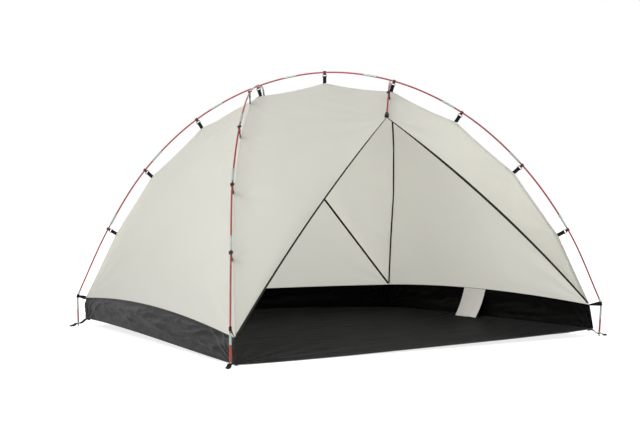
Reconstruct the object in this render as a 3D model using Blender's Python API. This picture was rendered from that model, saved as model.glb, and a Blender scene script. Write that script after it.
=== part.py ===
"""A free-standing beach tent hung under an outer frame of three poles.

One long pole arches over a diagonal of the floor. Two shorter poles each rise from one of the
other two corners, pass under the long pole beside one of its clips, bend down in a bright elbow
and end in a socket at the top of a triangular opening. The cloth hangs 6 cm inside the poles
from clips on webbing loops. The tent repeats itself when it is turned half a turn about its
upright centre line, apart from the front opening, which is bare, and the back one, which is
closed with cloth.

Metres, +Z up. The origin is on the ground under the middle of the floor and -Y is the front.
"""
import bpy
import bmesh
from math import cos, degrees, pi, radians, sin
from mathutils import Matrix, Vector
from mathutils.geometry import interpolate_bezier

# Driving sizes of the tent
FRONT_EDGE = 2.05
SIDE_EDGE = 1.965
POLE_TOP = 1.405
APEX_DROP = 0.257

# Poles
POLE_DIAMETER = 0.0085
FERRULE_DIAMETER = 0.011
FERRULE_LENGTH = 0.074
ELBOW_DIAMETER = 0.010
END_TUBE_DIAMETER = 0.0125
END_TUBE_TOP = 0.095
TIP_DIAMETER = 0.008
TIP_LENGTH = 0.022
LONG_FOOT_JOINT = 0.178
LONG_FOOT_FERRULE_TOP = 0.203
SHORT_FOOT_JOINT = 0.112
SHORT_FOOT_FERRULE_TOP = 0.146
LONG_POLE_STANDOFF = 0.028
SHORT_POLE_STANDOFF = 0.047
LONG_POLE_SWAY = 0.044
SHORT_POLE_BOW = 0.040
LONG_FOOT_BEND = 0.050
SHORT_FOOT_BEND = 0.038
CROSSING_OFFSET = 0.022
ELBOW_REACH = 0.034
ELBOW_BEND = 0.040
POLE_SIDES = 8
BEND_STEP = radians(5)
ROD_STEP = 0.055
MARCH = 0.005

# Clips and webbing
SEAM_DROP = 0.058
HOOK_REACH = 0.024
HOOK_WIDTH = 0.014
HOOK_WALL = 0.003
HOOK_NECK = 0.008
HOOK_ROOT = 0.001
HOOK_OPENS = 85
PLATE_WIDTH = 0.024
PLATE_THICKNESS = 0.003
PLATE_TOP = 0.0125
RAIL = 0.003
WINDOW_TOP = 0.0095
CHEEK = 0.002
WEBBING_WIDTH = 0.019
WEBBING_THICKNESS = 0.0022
EYE_RADIUS = 0.0025
EYE_WALL = 0.0012
SEAM_TAPE_WIDTH = 0.007
SEAM_TAPE_THICKNESS = 0.0015
CORNER_STRAP_HEIGHT = 0.020
CORNER_STRAP_CLEARANCE = 0.0077
CORNER_STRAP_TOE = 0.005
CORNER_STRAP_THICKNESS = 0.003
SLEEVE_WALL = 0.0018
STUB_CLIP_FROM_BEND = 0.050

# Sockets at the two apexes
SOCKET_DIAMETER = 0.015
SOCKET_LENGTH = 0.025
SOCKET_FLOOR = 0.006
SOCKET_EAR_SPAN = 0.022
SOCKET_PATCH_UNDER = 0.0018
SOCKET_CLOTH_GAP = 0.0017
SOCKET_EAR_HEIGHT = 0.0022

# Cloth
CLOTH = 0.0012
FLOOR_CLOTH = 0.0012
HIGH_CORNER = 0.041
LOW_CORNER = 0.005
HEM_ARCH = 0.016
HEM_RISE = 0.27
HIGH_WALL_TOP = 0.161
FRONT_LEFT_WALL_TOP = 0.116
FRONT_LEFT_WALL_LEAN = 0.018
BACK_RIGHT_WALL_TOP = 0.155
SIDE_WALL_MIDDLE = 0.188
BACK_WALL_MIDDLE = 0.168
WALL_OUTSET = 0.008
WALL_INSET = 0.036
DOOR_LEFT_BOW = 0.033
DOOR_RIGHT_BOW = 0.036
STAR_HEIGHT = 0.42
FOLD_LEAST = radians(35)
FOLD_MARGIN = 1.6
CORNER_INSET = 0.0012
CORNER_COSINE = 0.8
TAPE_LIFT = 0.0006
TAPE_START_SHARE = 0.15
TAPE_END_LIFT = 0.0012
STUB_TAPE_START_SHARE = 0.45

# Corner straps at the floor, and the label flap
STRAP_WIDTH = 0.020
STRAP_THICKNESS = 0.0018
STRAP_TAIL = 0.042
STRAP_SEWN = 0.030
GROMMET_REACH = 0.012
GROMMET_DROP = 0.0068
LABEL_WIDTH = 0.20
LABEL_LENGTH = 0.176
LABEL_THICKNESS = 0.0012
LABEL_CENTRE = 0.022
LABEL_LEAN = radians(24)
LABEL_BELLY = 0.007

# Clearances
GAP = 0.0003
BORE_CLEARANCE = 0.00035
HOOK_CLEARANCE = 0.0005
SLEEVE_CLEARANCE = 0.0006
OVERRUN = 0.004
WELD = 0.00001
SAME_PLACE = 0.0001
FLAT = radians(0.3)

# The long pole's clips from a foot to the top: shares of half its span, of its height and of
# its sway. The first row is the corner strap at the elbow.
LONG_POLE_SHARES = (
    (1.008, 0.121, 0.40),
    (0.894, 0.393, -1.00),
    (0.734, 0.631, -0.82),
    (0.518, 0.831, -0.78),
    (0.268, 0.956, -0.60),
    (0.0, 1.0, 0.0),
)
TIP_SWAY_SHARE = 0.75

# A short pole's clips from its foot to the elbow: shares of its run to the crossing, of the
# crossing's height and of its bow. The first row is the corner strap, the last is no clip.
SHORT_POLE_SHARES = (
    (0.016, 0.121, 0.10),
    (0.152, 0.356, 0.60),
    (0.287, 0.584, 1.00),
    (0.475, 0.796, 0.93),
    (0.708, 0.946, 0.55),
    (0.774, 0.969, 0.43),
)

# Where each pole is joined above a clip: shares of the stretch to the next clip, or to the bend
LONG_JOINT_SHARES = (0.14, 0.26, 0.36, 0.50, 0.65, 0.79, 0.86, 0.87)
SHORT_JOINT_SHARES = (0.14, 0.15, 0.20, 0.23)

# The front apex as shares of half the front edge and half the side edge
APEX_SHARES = (0.124, -0.427)

# How deep each stretch of the long seam sags between two clips, as shares of its length
SAG_SHARES = (0.0, 0.004, 0.012, 0.022, 0.024)

# Where the floor's threads are bent: shares of an edge
FLOOR_SHARES = (0.0, 0.04, 0.09, 0.15, 0.26, 0.42, 0.58, 0.74, 0.85, 0.91, 0.96, 1.0)

HALF_TURN = Matrix.Rotation(pi, 4, "Z")
UP = Vector((0, 0, 1))
STAR = Vector((0, 0, STAR_HEIGHT))


def turned(point):
    """The same point after half a turn about the tent's centre line."""
    return Vector((-point.x, -point.y, point.z))


class Path:
    """A curve through space, measured by the length along it."""

    def __init__(self, points, normal):
        self.points = points
        self.normal = normal
        self.lengths = [0.0]
        for start, end in zip(points, points[1:]):
            self.lengths.append(self.lengths[-1] + (end - start).length)
        self.length = self.lengths[-1]

    def span(self, s):
        index = 0
        while index < len(self.points) - 2 and self.lengths[index + 1] < s:
            index += 1
        return index

    def at(self, s):
        index = self.span(s)
        start, end = self.points[index], self.points[index + 1]
        share = (s - self.lengths[index]) / (self.lengths[index + 1] - self.lengths[index])
        return start.lerp(end, share)

    def tangent(self, s):
        reach = MARCH
        return (self.at(min(s + reach, self.length)) - self.at(max(s - reach, 0.0))).normalized()

    def frame(self, s):
        """Along, sideways and outward directions at a length."""
        along = self.tangent(s)
        side = (self.normal - along * self.normal.dot(along)).normalized()
        return along, side, along.cross(side).normalized()

    def nearest(self, point):
        """The length at which the path comes closest to a point."""
        best, found = 0.0, None
        for index, (start, end) in enumerate(zip(self.points, self.points[1:])):
            run = end - start
            share = max(0.0, min(1.0, (point - start).dot(run) / run.length_squared))
            away = (start + run * share - point).length
            if found is None or away < found:
                best, found = self.lengths[index] + run.length * share, away
        return best

    def half_turned(self):
        return Path([turned(point) for point in self.points], turned(self.normal))


def smooth_curve(knots, steps=12):
    """Points of a smooth curve through its knots."""
    gaps = [(b - a).length for a, b in zip(knots, knots[1:])]
    slopes = []
    for index, knot in enumerate(knots):
        if index == 0:
            slopes.append((knots[1] - knot) / gaps[0])
        elif index == len(knots) - 1:
            slopes.append((knot - knots[-2]) / gaps[-1])
        else:
            before = (knot - knots[index - 1]) / gaps[index - 1]
            after = (knots[index + 1] - knot) / gaps[index]
            slopes.append((before * gaps[index] + after * gaps[index - 1]) / (gaps[index] + gaps[index - 1]))
    points = [knots[0]]
    for index, gap in enumerate(gaps):
        start, end = knots[index], knots[index + 1]
        handle_a = start + slopes[index] * gap / 3
        handle_b = end - slopes[index + 1] * gap / 3
        points += interpolate_bezier(start, handle_a, handle_b, end, steps + 1)[1:]
    return points


def rounded_corner(start, corner, end, steps=10):
    """A smooth bend from start to end that leaves and arrives along the corner's two sides."""
    return interpolate_bezier(start, start.lerp(corner, 2 / 3), end.lerp(corner, 2 / 3), end, steps)


def bent_foot(tip, arch, bend):
    """A straight foot from a tip, and the bend above it up to where the arch goes on."""
    corner = arch.points[0]
    below = corner - (corner - tip).normalized() * (bend / 2)
    return [tip] + rounded_corner(below, corner, arch.at(bend / 2))


def between(arch, start, end):
    """The points of an arch between two lengths."""
    return [point for point, s in zip(arch.points, arch.lengths) if start < s <= end]


# Places that follow from the driving sizes
FRONT_LEFT = Vector((-FRONT_EDGE / 2, -SIDE_EDGE / 2, 0))
FRONT_RIGHT = Vector((FRONT_EDGE / 2, -SIDE_EDGE / 2, 0))
BACK_LEFT = Vector((-FRONT_EDGE / 2, SIDE_EDGE / 2, 0))
BACK_RIGHT = Vector((FRONT_EDGE / 2, SIDE_EDGE / 2, 0))
DIAGONAL = FRONT_RIGHT.normalized()
ACROSS = Vector((-DIAGONAL.y, DIAGONAL.x, 0))
FRONT_APEX = Vector((APEX_SHARES[0] * FRONT_EDGE / 2, APEX_SHARES[1] * SIDE_EDGE / 2, POLE_TOP - APEX_DROP))


def long_pole_path():
    """The long pole from its back left tip over the top to its front right tip."""
    half_span = FRONT_RIGHT.length + LONG_POLE_STANDOFF
    right = []
    for reach, height, sway in LONG_POLE_SHARES:
        flat = DIAGONAL * (reach * half_span) + ACROSS * (sway * LONG_POLE_SWAY)
        right.append(flat + UP * (height * POLE_TOP))
    knots = [turned(point) for point in right[:-1]] + right[::-1]
    arch = Path(smooth_curve(knots), ACROSS)
    tip = DIAGONAL * half_span + ACROSS * (TIP_SWAY_SHARE * LONG_POLE_SWAY)
    left = bent_foot(turned(tip), arch, LONG_FOOT_BEND)
    above = LONG_FOOT_BEND / 2 + MARCH
    middle = between(arch, above, arch.length - above)
    return Path(left + middle + [turned(point) for point in reversed(left)], ACROSS)


LONG_POLE = long_pole_path()
LONG_CLIPS = [
    LONG_POLE.nearest(turned(DIAGONAL * (reach * (FRONT_RIGHT.length + LONG_POLE_STANDOFF))
                             + ACROSS * (sway * LONG_POLE_SWAY)) + UP * (height * POLE_TOP))
    for reach, height, sway in LONG_POLE_SHARES
]
LONG_CLIPS += [LONG_POLE.length - s for s in reversed(LONG_CLIPS[:-1])]


def crossing_point():
    """Where the front left pole's axis passes under the long pole."""
    s = LONG_CLIPS[4] + CROSSING_OFFSET
    drop = (POLE_DIAMETER + ELBOW_DIAMETER) / 2 + 2 * GAP
    return LONG_POLE.at(s) - LONG_POLE.frame(s)[2] * drop


def short_pole_path():
    """The front left pole from its tip, under the long pole, down to the back apex."""
    foot = FRONT_LEFT + FRONT_LEFT.normalized() * SHORT_POLE_STANDOFF
    crossing = crossing_point()
    run = Vector((crossing.x - foot.x, crossing.y - foot.y, 0))
    side = Vector((-run.y, run.x, 0)).normalized()
    knots = []
    for reach, height, bow in SHORT_POLE_SHARES:
        knots.append(foot + run * reach + side * (bow * SHORT_POLE_BOW) + UP * (height * crossing.z))
    knots.append(crossing)
    arch = Path(smooth_curve(knots), side)
    rise = bent_foot(foot, arch, SHORT_FOOT_BEND) + between(arch, SHORT_FOOT_BEND / 2 + MARCH, arch.length)
    corner = crossing + (rise[-1] - rise[-2]).normalized() * ELBOW_REACH
    end = turned(FRONT_APEX)
    bend_end = corner + (end - corner).normalized() * ELBOW_BEND
    bend = rounded_corner(crossing, corner, bend_end)
    return Path(rise + bend[1:] + [end], side), Path(rise + bend[1:], side).length, knots[:-2]


SHORT_POLE, BEND_END, SHORT_KNOTS = short_pole_path()
SHORT_STRAP = SHORT_FOOT_FERRULE_TOP + CORNER_STRAP_HEIGHT / 2 + CORNER_STRAP_CLEARANCE
SHORT_CLIPS = [SHORT_STRAP] + [SHORT_POLE.nearest(knot) for knot in SHORT_KNOTS[1:]]
STUB_CLIP = BEND_END + STUB_CLIP_FROM_BEND
BACK_POLE = SHORT_POLE.half_turned()


def material(name, colour, roughness, metallic=0.0):
    made = bpy.data.materials.new(name)
    made.use_nodes = True
    shader = made.node_tree.nodes["Principled BSDF"]
    shader.inputs["Base Color"].default_value = (*colour, 1.0)
    shader.inputs["Roughness"].default_value = roughness
    shader.inputs["Metallic"].default_value = metallic
    return made


def make_object(name, mesh, paint, smooth=True):
    mesh.materials.append(paint)
    if smooth:
        mesh.shade_smooth()
        mesh.set_sharp_from_angle(angle=radians(35))
    made = bpy.data.objects.new(name, mesh)
    bpy.context.scene.collection.objects.link(made)
    return made


def face_out(shape):
    """Turns every face of a closed shape outward."""
    bmesh.ops.recalc_face_normals(shape, faces=shape.faces)
    if shape.calc_volume(signed=True) < 0:
        bmesh.ops.reverse_faces(shape, faces=shape.faces)


def mesh_from(name, points, faces):
    mesh = bpy.data.meshes.new(name)
    mesh.from_pydata(points, [], faces)
    shape = bmesh.new()
    shape.from_mesh(mesh)
    face_out(shape)
    shape.to_mesh(mesh)
    shape.free()
    return mesh


def triangulated(mesh):
    """The same mesh in triangles, which a Boolean takes where its faces are not flat."""
    shape = bmesh.new()
    shape.from_mesh(mesh)
    bmesh.ops.triangulate(shape, faces=shape.faces)
    shape.to_mesh(mesh)
    shape.free()
    return mesh


def together(meshes):
    """Several meshes as one."""
    shape = bmesh.new()
    for mesh in meshes:
        shape.from_mesh(mesh)
    joined = bpy.data.meshes.new("together")
    shape.to_mesh(joined)
    shape.free()
    return joined


def combined(base, others, operation="UNION"):
    """The mesh that a Boolean makes of one mesh and others, its flat faces whole again."""
    helper = bpy.data.objects.new("helper", triangulated(together(others)))
    subject = bpy.data.objects.new("subject", triangulated(base))
    for used in (helper, subject):
        bpy.context.scene.collection.objects.link(used)
    step = subject.modifiers.new("join", "BOOLEAN")
    step.operation = operation
    step.object = helper
    step.use_self = True
    bpy.context.view_layer.update()
    result = bpy.data.meshes.new_from_object(subject.evaluated_get(bpy.context.evaluated_depsgraph_get()))
    for used in (helper, subject):
        bpy.data.objects.remove(used)
    shape = bmesh.new()
    shape.from_mesh(result)
    bmesh.ops.remove_doubles(shape, verts=shape.verts, dist=WELD)
    bmesh.ops.dissolve_limit(shape, angle_limit=FLAT, verts=shape.verts, edges=shape.edges)
    bmesh.ops.triangulate(shape, faces=[face for face in shape.faces if len(face.verts) > 4])
    shape.to_mesh(result)
    shape.free()
    return result


def loop_body(name, rings, closed=False):
    """A solid whose skin runs through rings of points; a closed one has no ends."""
    points = [point for ring in rings for point in ring]
    count = len(rings[0])
    faces = []
    pairs = list(range(len(rings) - 1))
    for ring in pairs + ([len(rings) - 1] if closed else []):
        after = (ring + 1) % len(rings)
        for index in range(count):
            beside = (index + 1) % count
            faces.append((ring * count + index, ring * count + beside, after * count + beside, after * count + index))
    if not closed:
        faces.append(tuple(range(count)))
        faces.append(tuple((len(rings) - 1) * count + index for index in range(count)))
    return mesh_from(name, points, faces)


def round_ring(path, s, radius, sides=POLE_SIDES):
    _, side, out = path.frame(s)
    centre = path.at(s)
    ring = []
    for index in range(sides):
        angle = 2 * pi * index / sides
        ring.append(centre + side * (radius * cos(angle)) + out * (radius * sin(angle)))
    return ring


def stations(path, start, end, fixed=()):
    """Lengths between two stations at which a straight facet would leave the curve."""
    if abs(end - start) < ROD_STEP:
        return []
    found = sorted(s for s in fixed if min(start, end) + MARCH < s < max(start, end) - MARCH)
    if start > end:
        found.reverse()
    ends = [start, *found, end]
    placed = []
    for a, b in zip(ends, ends[1:]):
        last = a
        steps = int(abs(b - a) / MARCH)
        for index in range(1, steps):
            s = a + (b - a) * index / steps
            turn = path.tangent(s).angle(path.tangent(last), 0.0)
            if (turn > BEND_STEP or abs(s - last) > ROD_STEP) and abs(b - s) > ROD_STEP / 3:
                placed.append(s)
                last = s
        placed.append(b)
    return placed[:-1]


def tube(name, path, profile, fixed=()):
    """A round solid along a path, from pairs of length and radius."""
    rings = [round_ring(path, *profile[0])]
    for (s0, r0), (s1, r1) in zip(profile, profile[1:]):
        for s in stations(path, s0, s1, fixed):
            rings.append(round_ring(path, s, r0 + (r1 - r0) * (s - s0) / (s1 - s0)))
        rings.append(round_ring(path, s1, r1))
    return loop_body(name, rings)


def with_ferrule(profile, joint, half=FERRULE_LENGTH / 2):
    """A rod's profile with a ferrule glued over its far end, open for the next rod."""
    outer = FERRULE_DIAMETER / 2
    bore = POLE_DIAMETER / 2 + BORE_CLEARANCE
    start = joint - half
    mouth = joint + half
    return profile + [(start, POLE_DIAMETER / 2), (start, outer), (mouth, outer), (mouth, bore), (joint, bore)]


def foot_profile(ferrule_top, joint):
    """Tip, end tube and ferrule of a foot section, from the ground up."""
    bore = POLE_DIAMETER / 2 + BORE_CLEARANCE
    return [
        (0.0, TIP_DIAMETER / 2),
        (TIP_LENGTH, TIP_DIAMETER / 2),
        (TIP_LENGTH, END_TUBE_DIAMETER / 2),
        (END_TUBE_TOP, END_TUBE_DIAMETER / 2),
        (END_TUBE_TOP, FERRULE_DIAMETER / 2),
        (ferrule_top, FERRULE_DIAMETER / 2),
        (ferrule_top, bore),
        (joint, bore),
    ]


def place_twice(mesh, front_name, back_name, paint):
    """One piece and its copy after half a turn."""
    front = make_object(front_name, mesh, paint)
    back = bpy.data.objects.new(back_name, mesh)
    bpy.context.scene.collection.objects.link(back)
    back.matrix_world = HALF_TURN
    return front, back


def flat_cut(mesh):
    """Flattens what reaches below the ground."""
    for vertex in mesh.vertices:
        vertex.co.z = max(vertex.co.z, 0.0)
    return mesh


def joints_between(places, shares):
    """The lengths at which a pole is joined, one between each two places."""
    return [low + (high - low) * share for low, high, share in zip(places, places[1:], shares)]


def sleeve_stations(clip):
    """Lengths at which a corner strap's sleeve and the pole in it bend alike."""
    half = CORNER_STRAP_HEIGHT / 2
    return [clip - half, clip, clip + half]


def long_pole(paint):
    fixed = sleeve_stations(LONG_CLIPS[0])
    foot = tube("foot", LONG_POLE, foot_profile(LONG_FOOT_FERRULE_TOP, LONG_FOOT_JOINT), fixed)
    place_twice(flat_cut(foot), "pole_a_foot_back_left", "pole_a_foot_front_right", paint)
    joints = [LONG_FOOT_JOINT, *joints_between(LONG_CLIPS[1:-1], LONG_JOINT_SHARES), LONG_POLE.length - LONG_FOOT_JOINT]
    radius = POLE_DIAMETER / 2
    for index, (start, end) in enumerate(zip(joints, joints[1:])):
        mouth = FERRULE_LENGTH / 2 if index else LONG_FOOT_FERRULE_TOP - LONG_FOOT_JOINT
        profile = [(start + GAP, radius), (start + mouth, radius)]
        if index == len(joints) - 2:
            profile += [(LONG_POLE.length - LONG_FOOT_FERRULE_TOP, radius), (end - GAP, radius)]
        else:
            profile = with_ferrule(profile, end)
        rod = tube("rod", LONG_POLE, profile, LONG_CLIPS[1:-1])
        make_object(f"pole_a_rod_{index + 1}", rod, paint)


def short_poles(paint):
    radius = POLE_DIAMETER / 2
    fixed = sleeve_stations(SHORT_CLIPS[0]) + SHORT_CLIPS[1:] + [STUB_CLIP]
    foot = tube("foot", SHORT_POLE, foot_profile(SHORT_FOOT_FERRULE_TOP, SHORT_FOOT_JOINT), fixed)
    place_twice(flat_cut(foot), "pole_b_foot", "pole_c_foot", paint)
    joints = [SHORT_FOOT_JOINT, *joints_between([*SHORT_CLIPS[1:], BEND_END], SHORT_JOINT_SHARES)]
    half = FERRULE_LENGTH / 2
    for index, (start, end) in enumerate(zip(joints, joints[1:])):
        mouth = start + half if index else SHORT_FOOT_FERRULE_TOP
        profile = with_ferrule([(start + GAP, radius), (mouth, radius)], end)
        rod = tube("rod", SHORT_POLE, profile, fixed)
        place_twice(rod, f"pole_b_rod_{index + 1}", f"pole_c_rod_{index + 1}", paint)
    spigot = joints[-1] + half + GAP
    profile = [
        (joints[-1] + GAP, radius),
        (spigot, radius),
        (spigot, ELBOW_DIAMETER / 2),
        (BEND_END, ELBOW_DIAMETER / 2),
        (BEND_END, radius),
        (SHORT_POLE.length, radius),
    ]
    elbow = tube("elbow", SHORT_POLE, profile, fixed)
    place_twice(elbow, "pole_b_elbow_and_stub", "pole_c_elbow_and_stub", paint)


def arc(radius, start, end, count):
    """Points of an arc about the clip's rail, angles measured from straight up."""
    points = []
    for index in range(count):
        angle = start + (end - start) * index / (count - 1)
        points.append((radius * sin(angle), radius * cos(angle)))
    return points


def extruded(name, outline, width):
    """An outline in x and z, extruded both ways along y."""
    points = [Vector((x, y, z)) for y in (-width / 2, width / 2) for x, z in outline]
    count = len(outline)
    faces = [tuple(range(count)), tuple(range(2 * count - 1, count - 1, -1))]
    for index in range(count):
        beside = (index + 1) % count
        faces.append((index, beside, count + beside, count + index))
    return mesh_from(name, points, faces)


def block(name, low, high):
    (x0, y0, z0), (x1, y1, z1) = low, high
    return extruded_between(name, [(x0, z0), (x1, z0), (x1, z1), (x0, z1)], y0, y1)


def extruded_between(name, outline, y0, y1):
    mesh = extruded(name, outline, y1 - y0)
    mesh.transform(Matrix.Translation((0, (y0 + y1) / 2, 0)))
    return mesh


def hook_mesh():
    """A clip: a hook that is open on one side, and a slotted plate that turns on its lower rail.

    The hook's slot is an arc about the rail, so the clip swings off its pole without touching it.
    """
    half_slot = POLE_DIAMETER / 2 + HOOK_CLEARANCE
    inner = HOOK_REACH - half_slot
    outer = HOOK_REACH + half_slot
    back = half_slot / HOOK_REACH + radians(1)
    behind = back + HOOK_WALL / HOOK_REACH
    outline = [(-HOOK_NECK / 2, PLATE_TOP - HOOK_ROOT), (HOOK_NECK / 2, PLATE_TOP - HOOK_ROOT)]
    outline += arc(inner, back, -back, 4)
    outline += arc(outer, -back, back + radians(8), 4)
    outline += arc(outer + HOOK_WALL, back + radians(4), -behind + radians(3), 4)
    outline += arc(inner - HOOK_WALL / 2, -behind, -behind, 2)[:1]
    body = extruded("hook", outline, HOOK_WIDTH)
    half_plate = PLATE_WIDTH / 2
    half_thick = PLATE_THICKNESS / 2
    plate = block("plate", (-half_thick, -half_plate, -RAIL / 2), (half_thick, half_plate, PLATE_TOP))
    window = block("window", (-OVERRUN, CHEEK - half_plate, RAIL / 2), (OVERRUN, half_plate - CHEEK, WINDOW_TOP))
    plate = combined(plate, [window], "DIFFERENCE")
    return combined(plate, [body])


def webbing_mesh(drop):
    """A webbing loop round a clip's rail, down to its seam."""
    half = WEBBING_THICKNESS / 2
    ring = EYE_RADIUS + EYE_WALL
    low = -drop
    outline = [(-half, low), (half, low), (half, -ring)]
    outline += arc(ring, radians(150), radians(-150), 9)
    outline += [(-half, -ring)]
    loop = extruded("webbing", outline, WEBBING_WIDTH)
    hole = extruded("eye", arc(EYE_RADIUS, 0, 2 * pi * 7 / 8, 8), WEBBING_WIDTH + OVERRUN)
    return combined(loop, [hole], "DIFFERENCE")


def clip_matrix(path, s, seam=None):
    """Stands a clip on its pole, away from its seam: x sideways, y along the pole, z outward."""
    along, side, out = path.frame(s)
    if seam is not None:
        start, end = seam
        share = (path.at(s) - start).dot(along) / (end - start).dot(along)
        out = (path.at(s) - start.lerp(end, share)).normalized()
        side = out.cross(along)
    turn = Matrix((-side, along, out)).transposed().to_4x4()
    return Matrix.Translation(path.at(s) - out * HOOK_REACH) @ turn


def seam_place(path, s):
    """The seam's place under a clip."""
    return path.at(s) - path.frame(s)[2] * SEAM_DROP


def sagging(start, end, depth, count):
    """Points from start towards end, sagging to the middle of the tent; the end is left out."""
    points = []
    for index in range(count):
        share = index / count
        point = start.lerp(end, share)
        inward = (STAR - point).normalized()
        points.append(point + inward * (depth * 4 * share * (1 - share)))
    return points


def wall_top(corner, height, outset=WALL_OUTSET):
    """The top corner of the tub wall over a floor corner."""
    return Vector((corner.x + outset * (1 if corner.x > 0 else -1),
                   corner.y - WALL_INSET * (1 if corner.y > 0 else -1), height))


TOP_FRONT_LEFT = wall_top(FRONT_LEFT, FRONT_LEFT_WALL_TOP, -FRONT_LEFT_WALL_LEAN)
TOP_BACK_RIGHT = wall_top(BACK_RIGHT, BACK_RIGHT_WALL_TOP)
TOP_BACK_LEFT = wall_top(BACK_LEFT, HIGH_WALL_TOP)
TOP_FRONT_RIGHT = wall_top(FRONT_RIGHT, HIGH_WALL_TOP)


def long_seam():
    """The seam under the long pole, five steps to a stretch, from back left to front right."""
    places = [TOP_BACK_LEFT] + [seam_place(LONG_POLE, s) for s in LONG_CLIPS[1:-1]] + [TOP_FRONT_RIGHT]
    depths = SAG_SHARES + SAG_SHARES[::-1]
    points = []
    for start, end, depth in zip(places, places[1:], depths):
        points += sagging(start, end, depth * (end - start).length, 5)
    return points + [places[-1]]


LONG_SEAM = long_seam()
TO_CROSSING = 20
BACK_PEAK = LONG_SEAM[TO_CROSSING]
FRONT_PEAK = LONG_SEAM[-1 - TO_CROSSING]


def short_seam(corner, path, peak):
    """The seam under a short pole, four steps to a stretch, from its corner to the long seam."""
    places = [corner] + [seam_place(path, s) for s in SHORT_CLIPS[1:]] + [peak]
    points = []
    for start, end in zip(places, places[1:]):
        points += sagging(start, end, SAG_SHARES[1] * (end - start).length, 4)
    return points + [places[-1]]


LEFT_SEAM = short_seam(TOP_FRONT_LEFT, SHORT_POLE, BACK_PEAK)
RIGHT_SEAM = short_seam(TOP_BACK_RIGHT, BACK_POLE, FRONT_PEAK)


def cloth_apex(path):
    """Where the cloth is drawn up under a socket."""
    along, _, out = path.frame(path.length)
    return path.at(path.length) + along * SOCKET_FLOOR - out * (SOCKET_DIAMETER / 2 + SOCKET_PATCH_UNDER + SOCKET_CLOTH_GAP)


FRONT_CLOTH_APEX = cloth_apex(BACK_POLE)
BACK_CLOTH_APEX = cloth_apex(SHORT_POLE)


def straight(start, end, count):
    return [start.lerp(end, index / count) for index in range(count + 1)]


def bowed(start, end, towards, bow, count):
    """A line that bows in its middle towards a place."""
    chord = end - start
    away = towards - start.lerp(end, 0.5)
    away = (away - chord * (away.dot(chord) / chord.length_squared)).normalized()
    points = []
    for index in range(count + 1):
        share = index / count
        points.append(start.lerp(end, share) + away * (bow * 4 * share * (1 - share)))
    return points


def band(start, end, middle):
    """The top of a tub wall: it arches up to a height in the middle."""
    arch = middle - (start.z + end.z) / 2
    points = []
    for share in FLOOR_SHARES:
        points.append(start.lerp(end, share) + UP * (arch * 4 * share * (1 - share)))
    return points


LEFT_BAND = band(TOP_FRONT_LEFT, TOP_BACK_LEFT, SIDE_WALL_MIDDLE)
BACK_BAND = band(TOP_BACK_LEFT, TOP_BACK_RIGHT, BACK_WALL_MIDDLE)
RIGHT_BAND = band(TOP_BACK_RIGHT, TOP_FRONT_RIGHT, SIDE_WALL_MIDDLE)


def sheet_grid(apex, side_a, side_b, far):
    """A cloth from an apex along two sides to a far edge, as rows of points.

    The rows fan out from the apex to the far edge, and each side's own curve fades out across
    the cloth towards the other side.
    """
    rows = []
    steps = len(side_a) - 1
    for row in range(1, steps + 1):
        v = row / steps
        over_a = side_a[row] - apex.lerp(side_a[-1], v)
        over_b = side_b[row] - apex.lerp(side_b[-1], v)
        line = []
        for index, point in enumerate(far):
            u = index / (len(far) - 1)
            line.append(apex.lerp(point, v) + over_a * (1 - u) + over_b * u)
        rows.append(line)
    return rows


class Sheet:
    """One cloth as rows of points, with or without an apex."""

    def __init__(self, name, rows, apex=None):
        self.name = name
        shape = bmesh.new()
        grid = [[shape.verts.new(point) for point in line] for line in rows]
        if apex is not None:
            tip = shape.verts.new(apex)
            for left, right in zip(grid[0], grid[0][1:]):
                shape.faces.new((tip, left, right))
        for line, below in zip(grid, grid[1:]):
            for index in range(len(line) - 1):
                shape.faces.new((line[index], below[index], below[index + 1], line[index + 1]))
        shape.normal_update()
        lean = sum((face.normal.dot(face.calc_center_median() - STAR) * face.calc_area() for face in shape.faces))
        if lean < 0:
            bmesh.ops.reverse_faces(shape, faces=shape.faces)
        shape.normal_update()
        self.shape = shape
        self.rim = {}
        for vert in shape.verts:
            edges = [edge for edge in vert.link_edges if edge.is_boundary]
            if len(edges) != 2:
                continue
            pulls = []
            for edge in edges:
                face = edge.link_faces[0]
                run = (edge.other_vert(vert).co - vert.co).normalized()
                pull = face.calc_center_median() - vert.co
                pulls.append(((pull - run * pull.dot(run)).normalized(), edge))
            self.rim[vert] = pulls

    def mesh(self, seams):
        """The sheet drawn in from its seams and thickened on its inner side."""
        shape = self.shape
        moves = {}
        for vert, pulls in self.rim.items():
            (first, edge_a), (second, edge_b) = pulls
            distances = [seams.inset(self, edge) for edge in (edge_a, edge_b)]
            cosine = first.dot(second)
            if cosine > CORNER_COSINE:
                moves[vert] = (first + second).normalized() * max(distances)
            else:
                distances = [max(distance, CORNER_INSET) for distance in distances]
                weight = 1 - cosine * cosine
                a = (distances[0] - distances[1] * cosine) / weight
                b = (distances[1] - distances[0] * cosine) / weight
                moves[vert] = first * a + second * b
        for vert, move in moves.items():
            vert.co += move
        shape.normal_update()
        faces = list(shape.faces)
        inner = {vert: shape.verts.new(vert.co - vert.normal * CLOTH) for vert in list(shape.verts)}
        rim = [edge for edge in shape.edges if edge.is_boundary]
        for face in faces:
            shape.faces.new([inner[vert] for vert in reversed(face.verts)])
        for edge in rim:
            a, b = edge.verts
            shape.faces.new((a, b, inner[b], inner[a]))
        face_out(shape)
        mesh = bpy.data.meshes.new(self.name)
        shape.to_mesh(mesh)
        shape.free()
        return mesh


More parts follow.
